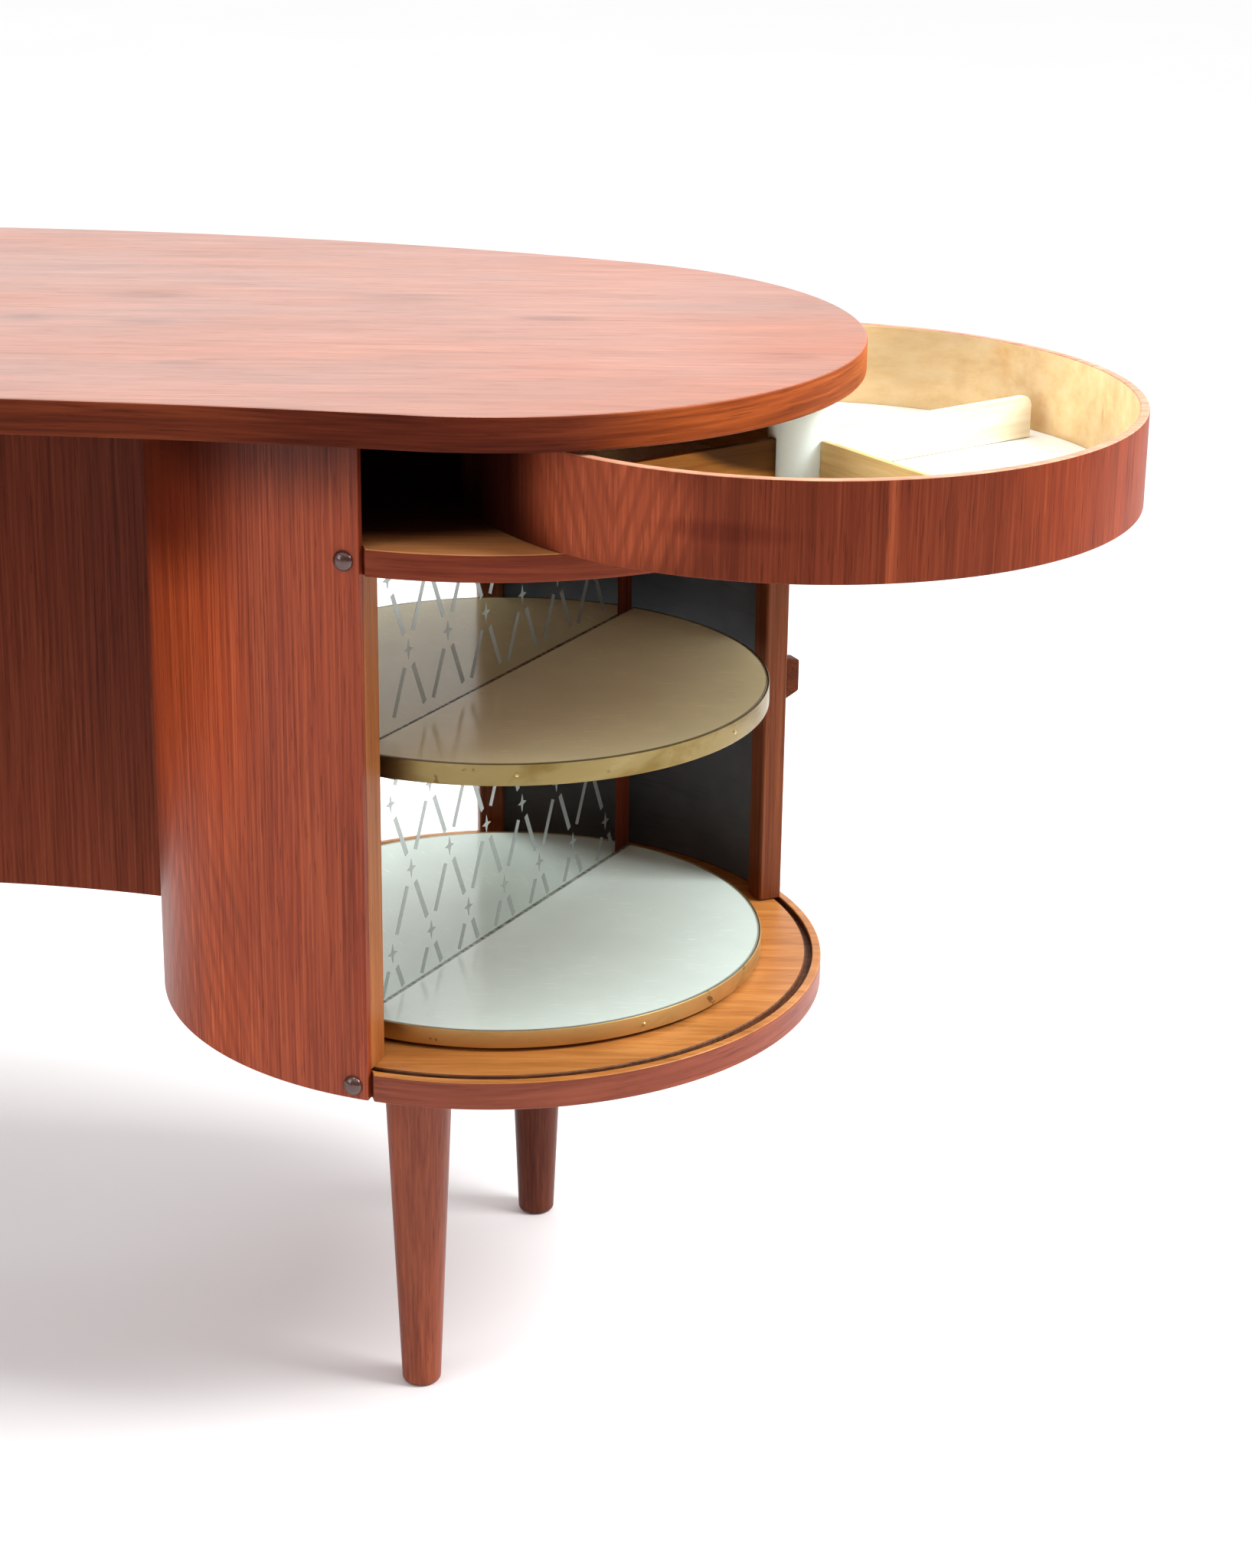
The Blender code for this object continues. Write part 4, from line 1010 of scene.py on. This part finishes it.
def make_drawer(side):
    """Round drawer: bent rim, pale floor and runner."""
    where = (DRAWER_SPOT if side == "right" else AXIS["left"], TURN[side], side + "_drawer")
    profile = rounded(section(DRAWER_INNER, DRAWER_RADIUS, DRAWER_LOW, DRAWER_HIGH), RIM_ROUND)
    rim = lathe(side + "_bent_rim", profile, step=1.0)

    def rule(radius, z, outward, upward):
        if upward > 0.35:
            return 1
        return 2 if outward < -0.5 else 0

    face = TEAK_RIM if side == "right" else PLAIN_RIM
    settle(rim, [face, LIP, BIRCH], where, side + "_drawer_rim", rule)
    floor = round_board(side + "_drawer_bottom", DRAWER_INNER - SEAT, *levels(side + "_drawer_floor"))
    settle(floor, [WHITE_FLOOR], where, side + "_drawer_floor")
    dress(side + "_drawer_runner", BIRCH, EDGE_ROUND)


def make_hub():
    """Open cup in the middle of the right-hand drawer."""
    low, high = levels("right_drawer_hub")
    inner, floor = HUB_RADIUS - HUB_WALL, low + HUB_WALL
    corners = [(0.0, low), (HUB_RADIUS, low), (HUB_RADIUS, high), (inner, high), (inner, floor), (0.0, floor)]
    hub = lathe("drawer_hub", rounded(corners, SMALL_ROUND), step=5.0)
    where = (DRAWER_SPOT, OPENING_TURN, "right_drawer")
    settle(hub, [MINT_PAINT], where, "right_drawer_hub")


def make_dividers():
    """Upright boards of the right-hand drawer, some of them browner, in painted shade."""
    bottom, top = levels("right_drawer_divider_1")
    near = HUB_RADIUS + SEAT
    height = top - bottom
    corner = (DIVIDER_REACH - DIVIDER_ROUND, height - DIVIDER_ROUND)
    face = [(near, 0.0), (DIVIDER_REACH, 0.0)] + arc(DIVIDER_ROUND, 0.0, 90.0, corner, 9.0) + [(near, height)]
    half = DIVIDER_THICKNESS / 2
    for i, ply in enumerate((DIVIDER, SHADED, SHADOWED_PLY, SHADED)):
        board = slab("drawer_board_%d" % (i + 1), face, -half, half, EDGE_ROUND, 2)
        paint(board, [ply])
        tip(board, DRAWER_SPOT, OPENING_TURN + DIVIDER_TURN + 90.0 * i, 0.0, bottom, "X")
        enter(board, "right_drawer", "right_drawer_divider_%d" % (i + 1))


# Revolving bar


def front_half(radius):
    """Angles between which a disc lies in front of the mirror."""
    edge = math.degrees(math.asin((SEAT - MIRROR_FACE["front"]) / radius))
    return 180.0 + edge, 360.0 - edge


def half_board(name, radius, low, high, rounding):
    return slab(name, arc(radius, *front_half(radius)), low, high, rounding, 1)


def make_tray(where, name, node, radius, make_board, roundings, span, laminate_kind, brass, lift=0.0):
    """Board with a laminate top and, over a span of angles, a brass band."""
    low, high = levels(node + "_band")
    core_low, core_high = levels(node + "_core")
    inner = radius - BAND_THICKNESS
    board = make_board(name + "_board", inner - SEAT, core_low + lift, core_high, roundings[0])
    settle(board, [HONEY], where, node + "_core")
    top = make_board(name + "_top", inner - SEAT, core_high + SEAT, high, roundings[1])
    settle(top, [laminate_kind], where, node + "_laminate")
    band = lathe(name + "_hoop", rounded(section(inner, radius, low + lift, high), BAND_ROUND), *span, 1.0)
    settle(band, [brass], where, node + "_band")


# Etched lattice of the mirrors: dashes along crossing lines, with a small star at each crossing
LATTICE_HALF_WIDTH = 0.0249
LATTICE_HALF_HEIGHT = 0.055
LATTICE_START = -0.1248
LATTICE_REACH = 0.163
LATTICE_COLUMNS = range(-2, 14)
LATTICE_ROWS = range(-4, 5)
LOWER_ROW = 0.3903
UPPER_ROW = 0.5488
MIRROR_MARGIN = 0.003
SHELF_MARGIN = 0.004
DASH_FROM = 0.22
DASH_TO = 0.79
DASH_WIDTH = 0.0043
STAR_REACH = (0.006, 0.0072)
STAR_WAIST = 0.0021
ETCH_DEPTH = 0.00012


def star(x, z):
    """Corners of a star with four points."""
    points = []
    for k in range(8):
        angle = math.pi / 4 * k
        wide, high = (STAR_WAIST, STAR_WAIST) if k % 2 else STAR_REACH
        points.append((x + wide * math.cos(angle), z + high * math.sin(angle)))
    return points


def trimmed(start, end, low, high):
    """The part of an upward line between two levels."""
    slope = (end - start) / (end.y - start.y)
    first, last = max(start.y, low), min(end.y, high)
    return start + slope * (first - start.y), start + slope * (last - start.y)


def lattice_shapes(low, high, row):
    """Dashes and stars of one field, as lists of (x, z) corners, cut off at the field's edges."""
    shapes = []
    crossings = [(i, j) for i in LATTICE_COLUMNS for j in LATTICE_ROWS if (i + j) % 2 == 0]
    for i, j in crossings:
        place = (LATTICE_START + LATTICE_HALF_WIDTH * i, row + LATTICE_HALF_HEIGHT * j)
        here = Vector(place)
        points = star(*place)
        if all(abs(x) < LATTICE_REACH and low < z < high for x, z in points):
            shapes.append(points)
        for way in (-1, 1):
            step = Vector((way * LATTICE_HALF_WIDTH, LATTICE_HALF_HEIGHT))
            side = step.orthogonal().normalized() * DASH_WIDTH / 2
            start, end = trimmed(here + step * DASH_FROM, here + step * DASH_TO, low, high)
            if end.y - start.y > DASH_WIDTH and max(abs(start.x), abs(end.x)) < LATTICE_REACH:
                shapes.append([tuple(p) for p in (start - side, start + side, end + side, end - side)])
    return shapes


def make_etching(where, face):
    """The lattice on one mirror, in low relief."""
    back_level = MIRROR_FACE[face]
    front_level = back_level + math.copysign(ETCH_DEPTH, back_level)
    low, high = levels("mirror_" + face)
    shelf_low, shelf_high = levels("bar_shelf_band")
    shapes = lattice_shapes(low + MIRROR_MARGIN, shelf_low - SHELF_MARGIN, LOWER_ROW)
    shapes += lattice_shapes(shelf_high + SHELF_MARGIN, high - MIRROR_MARGIN, UPPER_ROW)
    shape = bmesh.new()
    for corners in shapes:
        back = [shape.verts.new((x, back_level, z)) for x, z in corners]
        front = [shape.verts.new((x, front_level, z)) for x, z in corners]
        prism(shape, back, front)
    etching = new_piece("mirror_lattice_" + face, shape)
    settle(etching, [ETCHED], where, None)


# Nails of the brass bands: the outline of a head, and the angles where they sit
NAIL_HEAD = [(0.0, 0.0011), (0.0007, 0.001), (0.0013, 0.0006), (0.0016, 0.0), (0.0, 0.0)]
SHELF_NAILS = (-84.8, -31.0)
TABLE_NAILS = (-56.8, 3.2, 63.2, 123.2, 183.2, 243.2)


def make_nails():
    """Round-headed nails that hold the brass bands."""
    nails = [(SHELF_RADIUS, angle, "bar_shelf_band") for angle in SHELF_NAILS]
    nails += [(BAR_RADIUS, angle, "turntable_band") for angle in TABLE_NAILS]
    for i, (radius, angle, band) in enumerate(nails):
        nail = lathe("band_nail_%d" % (i + 1), NAIL_HEAD, step=20.0)
        paint(nail, [BRASS])
        tip(nail, AXIS["bar"], angle, radius, sum(levels(band)) / 2, "Y")
        enter(nail, "bar", None)


def make_bar():
    """Turntable, half shelf, partition with etched mirrors, and the nails of the brass bands."""
    where = (AXIS["bar"], OPENING_TURN + BAR_TURN, "bar")
    make_tray(
        where, "turntable", "turntable", BAR_RADIUS, round_board, (0.0, LAMINATE_ROUND), (0.0, 360.0),
        MINT, BRASS, TABLE_LIFT,
    )
    make_tray(
        where, "shelf", "bar_shelf", SHELF_RADIUS, half_board, (BAND_ROUND, LAMINATE_ROUND),
        front_half(SHELF_RADIUS), SHELF_LAMINATE_IN_SHADE, DULL_BRASS,
    )
    for node in ("partition_near_post", "partition_far_post"):
        dress(node, TEAK_PANEL, EDGE_ROUND)
    dress("partition_core", BIRCH)
    for node in ("bar_spindle", "bar_thrust_washer"):
        dress(node, STEEL)
    for node in ("bar_shelf_near_peg", "bar_shelf_far_peg"):
        dress(node, BRASS)
    for face in MIRROR_FACE:
        dress("mirror_" + face, MIRROR)
        make_etching(where, face)
    make_nails()


# Studio


def make_camera():
    """Camera fitted to the photograph."""
    data = bpy.data.cameras.new("photo_camera")
    data.sensor_width = SENSOR
    data.lens = FOCAL_PIXELS / PHOTO_HEIGHT * SENSOR
    camera = bpy.data.objects.new("photo_camera", data)
    bpy.context.scene.collection.objects.link(camera)
    tilt = Matrix.Rotation(math.pi / 2 - CAMERA_PITCH, 4, "X") @ Matrix.Rotation(CAMERA_ROLL, 4, "Z")
    camera.matrix_world = Matrix.Translation(CAMERA_PLACE) @ tilt
    bpy.context.scene.camera = camera


def make_softbox(name, place, target, side, power):
    """Square light that faces a point."""
    data = bpy.data.lights.new(name, "AREA")
    data.shape = "RECTANGLE"
    data.size = data.size_y = side
    data.energy = power
    light = bpy.data.objects.new(name, data)
    bpy.context.scene.collection.objects.link(light)
    light.location = place
    light.rotation_euler = (Vector(target) - Vector(place)).to_track_quat("-Z", "Y").to_euler()


def make_sky():
    """White surroundings above and behind, darker in front, where the room is not lit."""
    sky = Finish("studio", bpy.data.worlds, "Background", Color=(1.0, 1.0, 1.0, 1.0))
    lean = sky.vectors("DOT_PRODUCT", sky.node("TexCoord", output="Generated"), SKY_LEAN, "Value")
    sky.feed(sky.shader.inputs["Strength"], sky.span(lean, *SKY_FADE))
    bpy.context.scene.world = sky.owner


def make_studio():
    """Pale seamless floor, a key light from the right, a weak fill from the left and a light overhead."""
    shape = bmesh.new()
    bmesh.ops.create_grid(shape, x_segments=FLOOR_CELLS, y_segments=FLOOR_CELLS, size=FLOOR_REACH)
    floor = new_piece("studio_floor", shape)
    floor.data.materials.append(FLOOR)
    make_sky()
    for row in SOFTBOXES:
        make_softbox(*row)
    bpy.context.scene.view_settings.view_transform = "Standard"


make_desktop()
make_panel()
for side_word in HANDS:
    make_base(side_word)
    make_deck(side_word)
    make_wall(side_word)
    make_plugs(side_word)
    make_legs(side_word)
    make_door(side_word)
    make_drawer(side_word)
make_hub()
make_dividers()
make_bar()
make_left_shelf()
make_camera()
make_studio()
